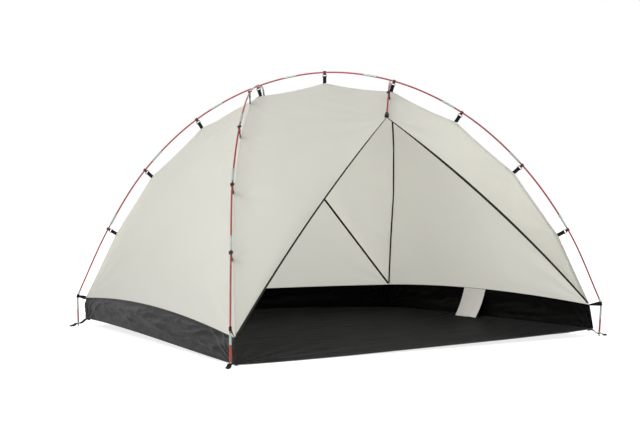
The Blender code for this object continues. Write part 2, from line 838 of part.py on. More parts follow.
class Seams:
    """Which sheets meet along which edges, and at what angle."""

    def __init__(self, sheets):
        self.edges = {}
        for sheet in sheets:
            for edge in sheet.shape.edges:
                if edge.is_boundary:
                    self.edges.setdefault(self.key(*(vert.co for vert in edge.verts)), []).append((sheet, *self.lie(edge)))

    @staticmethod
    def key(start, end):
        return tuple(sorted(tuple(round(value / SAME_PLACE) for value in point) for point in (start, end)))

    @staticmethod
    def lie(edge):
        face = edge.link_faces[0]
        run = (edge.verts[1].co - edge.verts[0].co).normalized()
        pull = face.calc_center_median() - edge.verts[0].co
        return (pull - run * pull.dot(run)).normalized(), face.normal.copy()

    def inset(self, sheet, edge):
        """How far a sheet keeps from a seam, so that two thick sheets lie a gap apart."""
        found = GAP / 2
        pull, normal = self.lie(edge)
        for other, far_pull, _ in self.edges.get(self.key(*(vert.co for vert in edge.verts)), []):
            if other is sheet:
                continue
            half = max(pull.angle(far_pull), FOLD_LEAST) / 2
            ridge = normal.dot(far_pull) < 0
            depth = CLOTH * cos(half) * FOLD_MARGIN if ridge else 0.0
            found = max(found, (GAP / 2 + depth) / sin(half))
        return found

    def outward(self, start, end):
        """The way out of the tent at a stretch of seam."""
        total = Vector()
        for _, _, normal in self.edges[self.key(start, end)]:
            total += normal
        return total.normalized()


def canopy():
    """The seven pale cloths."""
    base = len(LONG_SEAM) - 1
    to_left = LONG_SEAM[:TO_CROSSING + 1]
    top = LONG_SEAM[TO_CROSSING:base - TO_CROSSING + 1]
    to_right = LONG_SEAM[base - TO_CROSSING:][::-1]
    count = TO_CROSSING
    front_left_edge = bowed(TOP_FRONT_LEFT, FRONT_CLOTH_APEX, BACK_PEAK, DOOR_LEFT_BOW, count)
    front_right_edge = bowed(TOP_FRONT_RIGHT, FRONT_CLOTH_APEX, FRONT_PEAK, DOOR_RIGHT_BOW, count)
    back_right_edge = straight(TOP_BACK_RIGHT, BACK_CLOTH_APEX, count)
    back_left_edge = straight(TOP_BACK_LEFT, BACK_CLOTH_APEX, count)
    front_stub = straight(FRONT_PEAK, FRONT_CLOTH_APEX, 4)
    back_stub = straight(BACK_PEAK, BACK_CLOTH_APEX, 4)
    cloths = {
        "left_wall": (BACK_PEAK, LEFT_SEAM[::-1], to_left[::-1], LEFT_BAND),
        "right_wall": (FRONT_PEAK, RIGHT_SEAM[::-1], to_right[::-1], RIGHT_BAND),
        "front_roof": (TOP_FRONT_LEFT, LEFT_SEAM, front_left_edge, top + front_stub[1:]),
        "back_roof": (TOP_BACK_RIGHT, RIGHT_SEAM, back_right_edge, top[::-1] + back_stub[1:]),
        "front_side": (TOP_FRONT_RIGHT, to_right, front_right_edge, front_stub),
        "back_side": (TOP_BACK_LEFT, to_left, back_left_edge, back_stub),
        "back_panel": (BACK_CLOTH_APEX, back_left_edge[::-1], back_right_edge[::-1], BACK_BAND),
    }
    return [Sheet(name, sheet_grid(apex, side_a, side_b, far), apex)
            for name, (apex, side_a, side_b, far) in cloths.items()]


def hem_height(point):
    """How high the floor's underside hangs: its corners are lifted by the frame."""
    across = (point.x + FRONT_EDGE / 2) / FRONT_EDGE
    deep = (point.y + SIDE_EDGE / 2) / SIDE_EDGE
    edge = min(across * FRONT_EDGE, (1 - across) * FRONT_EDGE, deep * SIDE_EDGE, (1 - deep) * SIDE_EDGE)
    corners = (1 - deep) * ((1 - across) * LOW_CORNER + across * HIGH_CORNER)
    corners += deep * ((1 - across) * HIGH_CORNER + across * LOW_CORNER)
    arch = HEM_ARCH * deep * max(4 * across * (1 - across), 4 * deep * (1 - deep))
    fade = max(0.0, 1 - edge / HEM_RISE)
    return (corners + arch) * fade * fade


def floor_mesh():
    """The groundsheet, flat on the ground in the middle and lifted along its hem."""
    points = []
    count = len(FLOOR_SHARES)
    for level in (0.0, FLOOR_CLOTH):
        for deep in FLOOR_SHARES:
            for across in FLOOR_SHARES:
                point = Vector(((across - 0.5) * FRONT_EDGE, (deep - 0.5) * SIDE_EDGE, 0))
                points.append(point + UP * (hem_height(point) + level))
    faces = []
    layer = count * count
    for row in range(count - 1):
        for index in range(count - 1):
            a = row * count + index
            face = (a, a + 1, a + count + 1, a + count)
            faces.append(face[::-1])
            faces.append(tuple(layer + corner for corner in face))
    rim = [index for index in range(count)]
    rim += [row * count + count - 1 for row in range(1, count)]
    rim += [(count - 1) * count + index for index in range(count - 2, -1, -1)]
    rim += [row * count for row in range(count - 2, 0, -1)]
    for a, b in zip(rim, rim[1:] + rim[:1]):
        faces.append((a, b, layer + b, layer + a))
    return triangulated(mesh_from("floor", points, faces))


def ribbon(name, points, side, width, thickness):
    """A flat strap along points, with its width along one direction."""
    rings = []
    for index, point in enumerate(points):
        before = points[max(index - 1, 0)]
        after = points[min(index + 1, len(points) - 1)]
        along = (after - before).normalized()
        across = (side - along * side.dot(along)).normalized()
        lift = along.cross(across).normalized()
        half, thin = across * (width / 2), lift * (thickness / 2)
        rings.append([point - half - thin, point + half - thin, point + half + thin, point - half + thin])
    return loop_body(name, rings)


def floor_strap(corner, foot):
    """A corner strap: sewn under the floor's corner, round the pole tip, and a free tail."""
    out = Vector((foot.x - corner.x, foot.y - corner.y, 0)).normalized()
    inward = -Vector((corner.x, corner.y, 0)).normalized()
    seat = TIP_LENGTH - GROMMET_DROP
    flat = Vector((foot.x, foot.y, 0))
    under = FLOOR_CLOTH - 3 * GAP - STRAP_THICKNESS / 2
    points = []
    for sewn in (corner + inward * STRAP_SEWN, corner + inward * (STRAP_SEWN / 2), corner):
        points.append(sewn + UP * (hem_height(sewn) + under))
    points += [
        flat - out * GROMMET_REACH + UP * seat,
        flat + out * GROMMET_REACH + UP * seat,
        flat + out * (GROMMET_REACH + STRAP_TAIL / 2) + UP * (STRAP_THICKNESS * 2),
        flat + out * (GROMMET_REACH + STRAP_TAIL) + UP * (STRAP_THICKNESS / 2 + GAP),
    ]
    side = Vector((-out.y, out.x, 0))
    return triangulated(ribbon("strap", points, side, STRAP_WIDTH, STRAP_THICKNESS))


def groundsheet(paint):
    straps, holes = [], []
    feet = (
        (BACK_LEFT, LONG_POLE),
        (FRONT_RIGHT, LONG_POLE.half_turned()),
        (FRONT_LEFT, SHORT_POLE),
        (BACK_RIGHT, BACK_POLE),
    )
    bore = TIP_DIAMETER / 2 + SLEEVE_CLEARANCE
    depth = TIP_LENGTH + OVERRUN
    for corner, path in feet:
        straps.append(floor_strap(corner, path.at(0.0)))
        axis = Path([path.at(0.0), path.at(depth)], path.normal)
        holes.append(tube("hole", axis, [(0.0, bore), (depth, bore)]))
    mesh = combined(floor_mesh(), straps)
    mesh = combined(mesh, holes, "DIFFERENCE")
    make_object("groundsheet", flat_cut(mesh), paint, smooth=False)


def tub_walls():
    """The black walls between the floor's hem and the pale cloth."""
    sides = {
        "tub_wall_left": (FRONT_LEFT, BACK_LEFT, LEFT_BAND),
        "tub_wall_back": (BACK_LEFT, BACK_RIGHT, BACK_BAND),
        "tub_wall_right": (BACK_RIGHT, FRONT_RIGHT, RIGHT_BAND),
    }
    sheets = []
    for name, (start, end, top) in sides.items():
        hem = []
        for share in FLOOR_SHARES:
            point = start.lerp(end, share)
            hem.append(point + UP * (hem_height(point) + FLOOR_CLOTH + 2 * GAP))
        sheets.append(Sheet(name, [[low.lerp(high, level / 3) for low, high in zip(hem, top)] for level in range(4)]))
    return sheets


def clips(paint):
    """The nineteen clips. Each stands on an empty whose y axis is the rail that it turns on."""
    mesh = hook_mesh()
    mesh.materials.append(paint)
    places = [(f"clip_a_{index}", clip_matrix(LONG_POLE, s)) for index, s in enumerate(LONG_CLIPS[1:-1], 1)]
    stubs = ((BACK_PEAK, BACK_CLOTH_APEX), (FRONT_PEAK, FRONT_CLOTH_APEX))
    for letter, path, stub in zip("bc", (SHORT_POLE, BACK_POLE), stubs):
        places += [(f"clip_{letter}_{index}", clip_matrix(path, s)) for index, s in enumerate(SHORT_CLIPS[1:], 1)]
        places.append((f"clip_{letter}_{len(SHORT_CLIPS)}", clip_matrix(path, STUB_CLIP, stub)))
    for name, place in places:
        rail = bpy.data.objects.new(f"{name}_rail", None)
        rail.matrix_world = place
        bpy.context.scene.collection.objects.link(rail)
        made = bpy.data.objects.new(name, mesh)
        made.parent = rail
        bpy.context.scene.collection.objects.link(made)


def webbing_at(path, s, drop):
    mesh = webbing_mesh(drop)
    mesh.transform(clip_matrix(path, s))
    return mesh


def tape_frames(points, seams):
    """Centre, length, side and outward directions of a seam tape at each of its points."""
    frames = []
    last = len(points) - 1
    for index, point in enumerate(points):
        along = (points[min(index + 1, last)] - points[max(index - 1, 0)]).normalized()
        out = Vector()
        for start in range(max(index - 1, 0), min(index, last - 1) + 1):
            out += seams.outward(points[start], points[start + 1])
        out = (out - along * out.dot(along)).normalized()
        frames.append((point + out * (TAPE_LIFT + SEAM_TAPE_THICKNESS / 2), along, out.cross(along), out))
    return frames


def trimmed(end, beside):
    """A seam tape's end, a little short of the corner and clear of the cloths' tips."""
    return (end[0].lerp(beside[0], TAPE_START_SHARE) + end[3] * TAPE_END_LIFT, *end[1:])


def seam_tape(frames):
    """The folded seam on the outside of two cloths' edges."""
    rings = []
    for centre, _, side, out in frames:
        half, thin = side * (SEAM_TAPE_WIDTH / 2), out * (SEAM_TAPE_THICKNESS / 2)
        rings.append([centre - half - thin, centre + half - thin, centre + half + thin, centre - half + thin])
    return loop_body("tape", rings)


def corner_strap(path, s, toe_frame, diameter):
    """A triangular strap from the lower end of a seam tape to a sleeve round the pole."""
    along, side, out = path.frame(s)
    axis = path.at(s)
    half = CORNER_STRAP_HEIGHT / 2
    bore = diameter / 2 + SLEEVE_CLEARANCE
    places = sleeve_stations(s)
    rings = [round_ring(path, place, bore + SLEEVE_WALL) for place in places]
    rings += [round_ring(path, place, bore) for place in reversed(places)]
    sleeve = loop_body("sleeve", rings, closed=True)
    centre, run, beside, _ = toe_frame
    toward = centre - axis
    toward = (toward - along * toward.dot(along)).normalized()
    root = axis + toward * (bore + SLEEVE_WALL / 2)
    across = along.cross(toward).normalized() * (CORNER_STRAP_THICKNESS / 2)
    toe = run * (CORNER_STRAP_TOE / 2)
    toe = toe if run.dot(along) > 0 else -toe
    beside = beside * (CORNER_STRAP_THICKNESS / 2)
    beside = beside if beside.dot(across) > 0 else -beside
    high, low = along * (half - GAP), -along * (half - GAP)
    rings = [
        [root + high - across, root + high + across, root + low + across, root + low - across],
        [centre + toe - beside, centre + toe + beside, centre - toe + beside, centre - toe - beside],
    ]
    return [sleeve, loop_body("strap", rings)]


def webbing_to(rail, frames):
    """A webbing loop from a clip's rail down to the tape under it."""
    local = rail.inverted()
    below = min(frames, key=lambda frame: abs((local @ frame[0]).y) + (local @ frame[0]).length)
    run = local.to_3x3() @ below[1]
    place = local @ below[0]
    slope = run.z / run.y
    drop = -(place.z - place.y * slope)
    mesh = webbing_mesh(drop)
    for vertex in mesh.vertices:
        if vertex.co.z < -drop / 2:
            vertex.co.z += vertex.co.y * slope
    mesh.transform(rail)
    return mesh


def seam_tapes(seams, paint):
    """Three reinforced seams with the webbing loops and corner straps that are sewn to them."""
    frames = tape_frames(LONG_SEAM, seams)
    frames[0] = trimmed(frames[0], frames[1])
    frames[-1] = trimmed(frames[-1], frames[-2])
    added = [webbing_to(clip_matrix(LONG_POLE, s), frames) for s in LONG_CLIPS[1:-1]]
    added += corner_strap(LONG_POLE, LONG_CLIPS[0], frames[0], FERRULE_DIAMETER)
    added += corner_strap(LONG_POLE, LONG_CLIPS[-1], frames[-1], FERRULE_DIAMETER)
    make_object("long_seam_tape", combined(seam_tape(frames), added), paint, smooth=False)
    sides = (
        ("left_seam_tape", SHORT_POLE, LEFT_SEAM),
        ("right_seam_tape", BACK_POLE, RIGHT_SEAM),
    )
    for name, path, points in sides:
        frames = tape_frames(points, seams)[:-1]
        frames[0] = trimmed(frames[0], frames[1])
        added = [webbing_to(clip_matrix(path, s), frames) for s in SHORT_CLIPS[1:]]
        added += corner_strap(path, SHORT_CLIPS[0], frames[0], POLE_DIAMETER)
        make_object(name, combined(seam_tape(frames), added), paint, smooth=False)


def socket(path, points, seams):
    """The cup that takes a pole's end, on a patch, and the seam above it with its webbing loop."""
    along, side, out = path.frame(path.length)
    low = path.at(path.length) + along * SOCKET_FLOOR
    axis = Path([low, low - along * SOCKET_LENGTH], path.normal)
    bore = POLE_DIAMETER / 2 + BORE_CLEARANCE
    radius = SOCKET_DIAMETER / 2
    profile = [(0.0, radius), (SOCKET_LENGTH, radius), (SOCKET_LENGTH, bore), (SOCKET_FLOOR - GAP, bore)]
    half = side * (SOCKET_EAR_SPAN / 2)
    thick = out * (SOCKET_EAR_HEIGHT + SOCKET_PATCH_UNDER)
    bottom = low - out * (radius + SOCKET_PATCH_UNDER)
    patch = []
    for place in (bottom, bottom - along * SOCKET_LENGTH):
        patch.append([place - half, place + half, place + half + thick, place - half + thick])
    frames = tape_frames(points, seams)
    frames[0] = (frames[0][0].lerp(frames[1][0], STUB_TAPE_START_SHARE), *frames[1][1:])
    rail = clip_matrix(path, STUB_CLIP, (points[0], points[-1]))
    cup = tube("cup", axis, profile)
    return combined(seam_tape(frames), [loop_body("patch", patch), cup, webbing_to(rail, dense(frames))])


def dense(frames):
    """Tape frames with nine more between each two."""
    return [(a[0].lerp(b[0], step / 10), *a[1:]) for a, b in zip(frames, frames[1:]) for step in range(10)]


def sockets(seams, paint):
    back = straight(BACK_PEAK, BACK_CLOTH_APEX, 4)
    front = straight(FRONT_PEAK, FRONT_CLOTH_APEX, 4)
    make_object("back_apex_socket", socket(SHORT_POLE, back, seams), paint, smooth=False)
    make_object("front_apex_socket", socket(BACK_POLE, front, seams), paint, smooth=False)


def label(paint):
    """A blank flap that hangs inside the right wall from its upper seam."""
    empty = bpy.data.objects.new("label_seam", None)
    middle = RIGHT_BAND[len(RIGHT_BAND) // 2 - 1].lerp(RIGHT_BAND[len(RIGHT_BAND) // 2], 0.5)
    inward = CLOTH + LABEL_THICKNESS / 2 + 3 * GAP
    empty.location = (middle.x - inward, LABEL_CENTRE, middle.z - LABEL_THICKNESS)
    empty.rotation_euler = (0, LABEL_LEAN, 0)
    bpy.context.scene.collection.objects.link(empty)
    half = LABEL_THICKNESS / 2
    rings = []
    for row in range(5):
        share = row / 4
        depth = -LABEL_LENGTH * share
        belly = LABEL_BELLY * 4 * share * (1 - share)
        rings.append([Vector((belly + x, y, depth)) for x, y in (
            (-half, -LABEL_WIDTH / 2), (half, -LABEL_WIDTH / 2), (half, LABEL_WIDTH / 2), (-half, LABEL_WIDTH / 2))])
    flap = make_object("label_flap", loop_body("flap", rings), paint)
    flap.parent = empty


def main():
    for old in list(bpy.data.objects):
        bpy.data.objects.remove(old)
    red = material("red_anodised", (0.55, 0.08, 0.07), 0.35, 0.6)
    cloth = material("pale_cloth", (0.66, 0.65, 0.58), 0.8)
    dark = material("dark_cloth", (0.045, 0.045, 0.046), 0.6)
    black = material("black_plastic", (0.02, 0.02, 0.02), 0.5)
    webbing = material("black_webbing", (0.02, 0.02, 0.02), 0.85)
    label_cloth = material("label_cloth", (0.6, 0.6, 0.6), 0.7)
    long_pole(red)
    short_poles(red)
    pale, walls = canopy(), tub_walls()
    seams = Seams(pale + walls)
    seam_tapes(seams, webbing)
    sockets(seams, webbing)
    for sheet in pale:
        make_object(sheet.name, sheet.mesh(seams), cloth)
    for sheet in walls:
        make_object(sheet.name, sheet.mesh(seams), dark)
    groundsheet(dark)
    clips(black)
    label(label_cloth)


main()
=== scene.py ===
"""The looks of the beach tent: cloth, webbing, tubes and fittings around its fixed frame.

Metres, +Z up, -Y is the front. Every piece rides on the body of the solid that it stands for.
The pole lines and seam lines are worked out from the same few sizes as the solids, so cloth,
clips and tubes meet where the frame has them.
"""
from functools import partial
from math import cos, pi, radians, sin, sqrt

import bpy
import numpy as np
from mathutils import Matrix, Vector, noise
from mathutils.geometry import interpolate_bezier


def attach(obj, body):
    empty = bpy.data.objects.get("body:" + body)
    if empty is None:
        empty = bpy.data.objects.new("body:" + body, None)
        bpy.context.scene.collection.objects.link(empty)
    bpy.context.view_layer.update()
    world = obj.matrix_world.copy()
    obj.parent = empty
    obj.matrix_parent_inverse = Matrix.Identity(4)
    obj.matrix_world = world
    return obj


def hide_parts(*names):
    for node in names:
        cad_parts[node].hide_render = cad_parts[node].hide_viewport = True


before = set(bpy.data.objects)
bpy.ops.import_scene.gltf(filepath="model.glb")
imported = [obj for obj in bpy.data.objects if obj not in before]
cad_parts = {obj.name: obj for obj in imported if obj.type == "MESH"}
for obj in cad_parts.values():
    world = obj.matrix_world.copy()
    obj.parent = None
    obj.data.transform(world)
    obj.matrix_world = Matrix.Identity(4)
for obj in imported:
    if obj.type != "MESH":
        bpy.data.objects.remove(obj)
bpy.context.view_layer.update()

# The camera stands at the photograph's own place, in front of the tent and to its left.
CAMERA_PLACE = Vector((-3.2146, -5.5301, 0.7054))
CAMERA_YAW = 0.52202
CAMERA_PITCH = -0.010496
CAMERA_ROLL = -0.005068
CAMERA_LENS = 66.109
SENSOR_WIDTH = 36.0

# The studio: how bright the floor near the tent and the sky are, for the tent's light and for the camera
FLOOR_TONE = 0.42
FLOOR_LIGHT = (0.64, 0.80)
FLOOR_FADE = (1.2, 3.5)
SKY_LIGHT = (0.83, 1.0)
LAMPS_AIM = Vector((0, 0, 0.4))
LAMPS = (
    ("key", Vector((-5.2, -2.6, 4.0)), 3.2, 225),
    ("front", Vector((1.5, -6.0, 2.6)), 3.5, 29),
    ("back", Vector((1.5, 4.8, 4.2)), 3.5, 90),
)

# Sizes of the frame that the cloth and the tubes follow
FRONT_EDGE = 2.05
SIDE_EDGE = 1.965
POLE_TOP = 1.405
APEX_DROP = 0.257
POLE_DIAMETER = 0.0085
FERRULE_DIAMETER = 0.011
FERRULE_LENGTH = 0.074
ELBOW_DIAMETER = 0.010
END_TUBE_DIAMETER = 0.0125
END_TUBE_TOP = 0.095
TIP_DIAMETER = 0.008
TIP_LENGTH = 0.022
LONG_FOOT_JOINT = 0.178
LONG_FOOT_FERRULE_TOP = 0.203
SHORT_FOOT_JOINT = 0.112
SHORT_FOOT_FERRULE_TOP = 0.146
LONG_POLE_STANDOFF = 0.028
SHORT_POLE_STANDOFF = 0.047
LONG_POLE_SWAY = 0.044
SHORT_POLE_BOW = 0.040
LONG_FOOT_BEND = 0.050
SHORT_FOOT_BEND = 0.038
CROSSING_OFFSET = 0.022
ELBOW_REACH = 0.034
ELBOW_BEND = 0.040
MARCH = 0.005
SEAM_DROP = 0.058
HOOK_REACH = 0.024
STUB_CLIP_FROM_BEND = 0.050
SOCKET_DIAMETER = 0.015
SOCKET_LENGTH = 0.025
SOCKET_FLOOR = 0.006
SOCKET_PATCH_UNDER = 0.0018
SOCKET_CLOTH_GAP = 0.0017
CORNER_STRAP_HEIGHT = 0.020
CORNER_STRAP_CLEARANCE = 0.0077
FLOOR_CLOTH = 0.0012
HIGH_CORNER = 0.041
LOW_CORNER = 0.005
HEM_ARCH = 0.016
HEM_RISE = 0.27
FRONT_SAG = 0.012
HIGH_WALL_TOP = 0.161
FRONT_LEFT_WALL_TOP = 0.116
FRONT_LEFT_WALL_LEAN = 0.018
BACK_RIGHT_WALL_TOP = 0.155
SIDE_WALL_MIDDLE = 0.188
BACK_WALL_MIDDLE = 0.168
WALL_OUTSET = 0.008
WALL_INSET = 0.036
DOOR_LEFT_BOW = 0.033
DOOR_RIGHT_BOW = 0.075
STAR_HEIGHT = 0.42
GAP = 0.0003
BORE_CLEARANCE = 0.00035
LABEL_WIDTH = 0.20
LABEL_LENGTH = 0.176
LABEL_CENTRE = 0.022
LABEL_LEAN = radians(24)
LABEL_BELLY = 0.007
LABEL_SEAM = Vector((1.0303, LABEL_CENTRE, 0.1860))
BORE = POLE_DIAMETER / 2 + BORE_CLEARANCE
ELBOW_SILVER_FROM = 2.13

# Sizes that only the looks have
CLOTH = 0.0007
TUB_CLOTH = 0.001
LABEL_CLOTH = 0.0009
LABEL_CURL = 0.004
LABEL_WAVE = 0.0022
INNER_BINDING_WIDTH = 0.011
INNER_BINDING = 0.0011
SEAM_WIDTH = 0.010
SEAM_RIDGE = 0.0004
TAPE_GAP = 0.0001
DOOR_BINDING = 0.0030
HEM_WIDTH = 0.011
HEM_THICKNESS = 0.0020
HEM_BEHIND_EDGE = 0.004
HEM_OVER_CLOTH = 0.0006
WEBBING_WIDTH = 0.019
WEBBING = 0.0018
PLY = WEBBING * 0.55
RAIL_EYE = 0.0031
CORNER_STRAP = 0.0024
SLEEVE_WALL = 0.0014
SLEEVE_REACH = 0.0022
SLEEVE_RIM = 0.0004
STRAP_ROOT = 0.0012
FLOOR_STRAP_WIDTH = 0.0195
EYELET_SEAT = TIP_LENGTH - 0.0068
EYELET_RADIUS = 0.0062
EYELET_WIRE = 0.0013
EYELET_FLATNESS = 0.7
LONG_END_TUBE_DIAMETER = 0.0095
RIM = 0.0005
ELBOW_RIM = 0.0004
FOOT_RIM = 0.0006
SOCKET_RIM = 0.0012
SOCKET_PATCH = (0.022, 0.0016)
SOCKET_OVER_PATCH = 0.0006
ROUND_SIDES = 18
RING_STEP = 0.016

# How finely the cloths are meshed, and how long they are pulled taut
FINE = 6
WALL_FINE = 11
WALL_ROWS = 29
FLOOR_COUNT = 181
LABEL_COUNT = 25
TAUT_ROUNDS = 260

# Folds: how far they reach, how many fan out in a full turn, and how high they stand
CLIP_FOLDS = (0.09, 9, 0.0016)
CORNER_FOLDS = (0.22, 16, 0.0022)
STRAP_FOLDS = (0.15, 26, 0.0058)
FLOOR_FOLDS = (0.35, 26, 0.006)
CANOPY_RUMPLE = 0.004
WALL_RUMPLE = 0.004
WALL_FOLD = 0.007
WALL_BULGE = 0.010
BULGE_SPREAD = 0.18
FLOOR_RIPPLE = 0.005
SHARPEST = 0.985

# The long pole's half from its foot to its top: how far out, how high and how far to the side
LONG_POLE_SHARES = (
    (1.008, 0.121, 0.40),
    (0.894, 0.393, -1.00),
    (0.734, 0.631, -0.82),
    (0.518, 0.831, -0.78),
    (0.268, 0.956, -0.60),
    (0.0, 1.0, 0.0),
)
TIP_SWAY_SHARE = 0.75
# A short pole from its foot to the crossing: how far along, how high and how far to the side
SHORT_POLE_SHARES = (
    (0.016, 0.121, 0.10),
    (0.152, 0.356, 0.60),
    (0.287, 0.584, 1.00),
    (0.475, 0.796, 0.93),
    (0.708, 0.946, 0.55),
    (0.774, 0.969, 0.43),
)
LONG_JOINT_SHARES = (0.14, 0.26, 0.36, 0.50, 0.65, 0.79, 0.86, 0.87)
SHORT_JOINT_SHARES = (0.14, 0.15, 0.20, 0.23)
APEX_SHARES = (0.124, -0.427)
SAG_SHARES = (0.0, 0.004, 0.012, 0.022, 0.024)
FLOOR_SHARES = (0.0, 0.04, 0.09, 0.15, 0.26, 0.42, 0.58, 0.74, 0.85, 0.91, 0.96, 1.0)
# A floor strap from the corner's stitches, and on from the eyelet: how far out, how high, how far sideways
STRAP_SEWN = (0.030, 0.012)
STRAP_KNOTS = (
    (-0.013, EYELET_SEAT, 0.0),
    (0.0, EYELET_SEAT, 0.0),
    (0.013, EYELET_SEAT - 0.001, 0.0),
    (0.028, 0.0060, 0.002),
    (0.042, 0.0016, 0.004),
    (0.053, 0.0022, 0.006),
)
STRAP_STEPS = 5

HALF_TURN = Matrix.Rotation(pi, 4, "Z")
UP = Vector((0, 0, 1))
STAR = Vector((0, 0, STAR_HEIGHT))


# Lines of the poles

def turned(point):
    """The same point after half a turn about the tent's centre line."""
    return Vector((-point.x, -point.y, point.z))


class Path:
    """A curve through space, measured by the length along it."""

    def __init__(self, points, normal):
        self.points = points
        self.normal = normal
        self.lengths = [0.0]
        for start, end in zip(points, points[1:]):
            self.lengths.append(self.lengths[-1] + (end - start).length)
        self.length = self.lengths[-1]

    def at(self, s):
        """The point at a length."""
        index = int(np.searchsorted(self.lengths[1:-1], s))
        start, end = self.points[index], self.points[index + 1]
        low, high = self.lengths[index:index + 2]
        return start.lerp(end, (s - low) / (high - low))

    def frame(self, s):
        """Along, sideways and outward directions at a length."""
        along = (self.at(min(s + MARCH, self.length)) - self.at(max(s - MARCH, 0.0))).normalized()
        side = (self.normal - along * self.normal.dot(along)).normalized()
        return along, side, along.cross(side).normalized()

    def nearest(self, point):
        """The length at which the path comes closest to a point."""
        best, found = 0.0, None
        for index, (start, end) in enumerate(zip(self.points, self.points[1:])):
            run = end - start
            share = max(0.0, min(1.0, (point - start).dot(run) / run.length_squared))
            away = (start + run * share - point).length
            if found is None or away < found:
                best, found = self.lengths[index] + run.length * share, away
        return best

    def half_turned(self):
        return Path([turned(point) for point in self.points], turned(self.normal))


def smooth_curve(knots, steps=12):
    """Points of a smooth curve through its knots."""
    gaps = [(b - a).length for a, b in zip(knots, knots[1:])]
    runs = [(b - a) / gap for a, b, gap in zip(knots, knots[1:], gaps)]
    slopes = [runs[0]]
    for before, after, low, high in zip(runs, runs[1:], gaps, gaps[1:]):
        slopes.append((before * high + after * low) / (high + low))
    slopes.append(runs[-1])
    points = [knots[0]]
    for start, end, leave, arrive, gap in zip(knots, knots[1:], slopes, slopes[1:], gaps):
        handles = start + leave * gap / 3, end - arrive * gap / 3
        points += interpolate_bezier(start, *handles, end, steps + 1)[1:]
    return points


def rounded_corner(start, corner, end, steps=10):
    """An arc from start to end that bends towards the corner between them."""
    return interpolate_bezier(start, start.lerp(corner, 2 / 3), end.lerp(corner, 2 / 3), end, steps)


def bent_foot(tip, arch, bend):
    """A pole's straight foot from its tip, and the bend into its arch."""
    corner = arch.points[0]
    below = corner - (corner - tip).normalized() * (bend / 2)
    return [tip] + rounded_corner(below, corner, arch.at(bend / 2))


def between(arch, start, end):
    """The points of a path that lie between two lengths."""
    return [point for point, s in zip(arch.points, arch.lengths) if start < s <= end]


FRONT_RIGHT = Vector((FRONT_EDGE / 2, -SIDE_EDGE / 2, 0))
BACK_RIGHT = Vector((FRONT_EDGE / 2, SIDE_EDGE / 2, 0))
BACK_LEFT, FRONT_LEFT = turned(FRONT_RIGHT), turned(BACK_RIGHT)
DIAGONAL = FRONT_RIGHT.normalized()
ACROSS = Vector((-DIAGONAL.y, DIAGONAL.x, 0))
FRONT_APEX = Vector((APEX_SHARES[0] * FRONT_EDGE / 2, APEX_SHARES[1] * SIDE_EDGE / 2,
                     POLE_TOP - APEX_DROP))
HALF_SPAN = FRONT_RIGHT.length + LONG_POLE_STANDOFF


def long_pole_knot(reach, height, sway):
    """A place on the right half of the long pole from its shares."""
    flat = DIAGONAL * (reach * HALF_SPAN) + ACROSS * (sway * LONG_POLE_SWAY)
    return flat + UP * (height * POLE_TOP)


def long_pole_path():
    """The long pole from the back left foot to the front right foot."""
    knots = [long_pole_knot(*shares) for shares in LONG_POLE_SHARES]
    arch = Path(smooth_curve([turned(knot) for knot in knots[:-1]] + knots[::-1]), ACROSS)
    tip = DIAGONAL * HALF_SPAN + ACROSS * (TIP_SWAY_SHARE * LONG_POLE_SWAY)
    left = bent_foot(turned(tip), arch, LONG_FOOT_BEND)
    above = LONG_FOOT_BEND / 2 + MARCH
    right = [turned(point) for point in reversed(left)]
    return Path(left + between(arch, above, arch.length - above) + right, ACROSS)


LONG_POLE = long_pole_path()
LONG_CLIPS = [LONG_POLE.nearest(turned(long_pole_knot(*shares))) for shares in LONG_POLE_SHARES]
LONG_CLIPS += [LONG_POLE.length - s for s in reversed(LONG_CLIPS[:-1])]


def short_pole_path():
    """The front left pole from its tip, under the long pole, down to the back apex."""
    foot = FRONT_LEFT + FRONT_LEFT.normalized() * SHORT_POLE_STANDOFF
    cross_at = LONG_CLIPS[4] + CROSSING_OFFSET
    drop = (POLE_DIAMETER + ELBOW_DIAMETER) / 2 + 2 * GAP
    crossing = LONG_POLE.at(cross_at) - LONG_POLE.frame(cross_at)[2] * drop
    run = Vector((crossing.x - foot.x, crossing.y - foot.y, 0))
    side = Vector((-run.y, run.x, 0)).normalized()
    knots = [foot + run * reach + side * (bow * SHORT_POLE_BOW) + UP * (height * crossing.z)
             for reach, height, bow in SHORT_POLE_SHARES] + [crossing]
    arch = Path(smooth_curve(knots), side)
    rise = bent_foot(foot, arch, SHORT_FOOT_BEND)
    rise += between(arch, SHORT_FOOT_BEND / 2 + MARCH, arch.length)
    corner = crossing + (rise[-1] - rise[-2]).normalized() * ELBOW_REACH
    end = turned(FRONT_APEX)
    bend_end = corner + (end - corner).normalized() * ELBOW_BEND
    bend = rounded_corner(crossing, corner, bend_end)
    return Path(rise + bend[1:] + [end], side), Path(rise + bend[1:], side).length, knots[:-2]


SHORT_POLE, BEND_END, SHORT_KNOTS = short_pole_path()
SHORT_STRAP = SHORT_FOOT_FERRULE_TOP + CORNER_STRAP_HEIGHT / 2 + CORNER_STRAP_CLEARANCE
SHORT_CLIPS = [SHORT_STRAP] + [SHORT_POLE.nearest(knot) for knot in SHORT_KNOTS[1:]]
STUB_CLIP = BEND_END + STUB_CLIP_FROM_BEND
BACK_POLE = SHORT_POLE.half_turned()


# Lines of the seams

def seam_place(path, s):
    """Where the seam hangs under a pole's clip."""
    return path.at(s) - path.frame(s)[2] * SEAM_DROP


def arched(share):
    """A low arch: 0 at both ends of a line and 1 in its middle."""
    return 4 * share * (1 - share)


def sagging(places, depths, count):
    """A line through places that sags between them towards the middle of the tent."""
    points = []
    for start, end, depth in zip(places, places[1:], depths):
        depth *= (end - start).length
        for share in np.arange(count) / count:
            point = start.lerp(end, share)
            points.append(point + (STAR - point).normalized() * (depth * arched(share)))
    return points + [places[-1]]


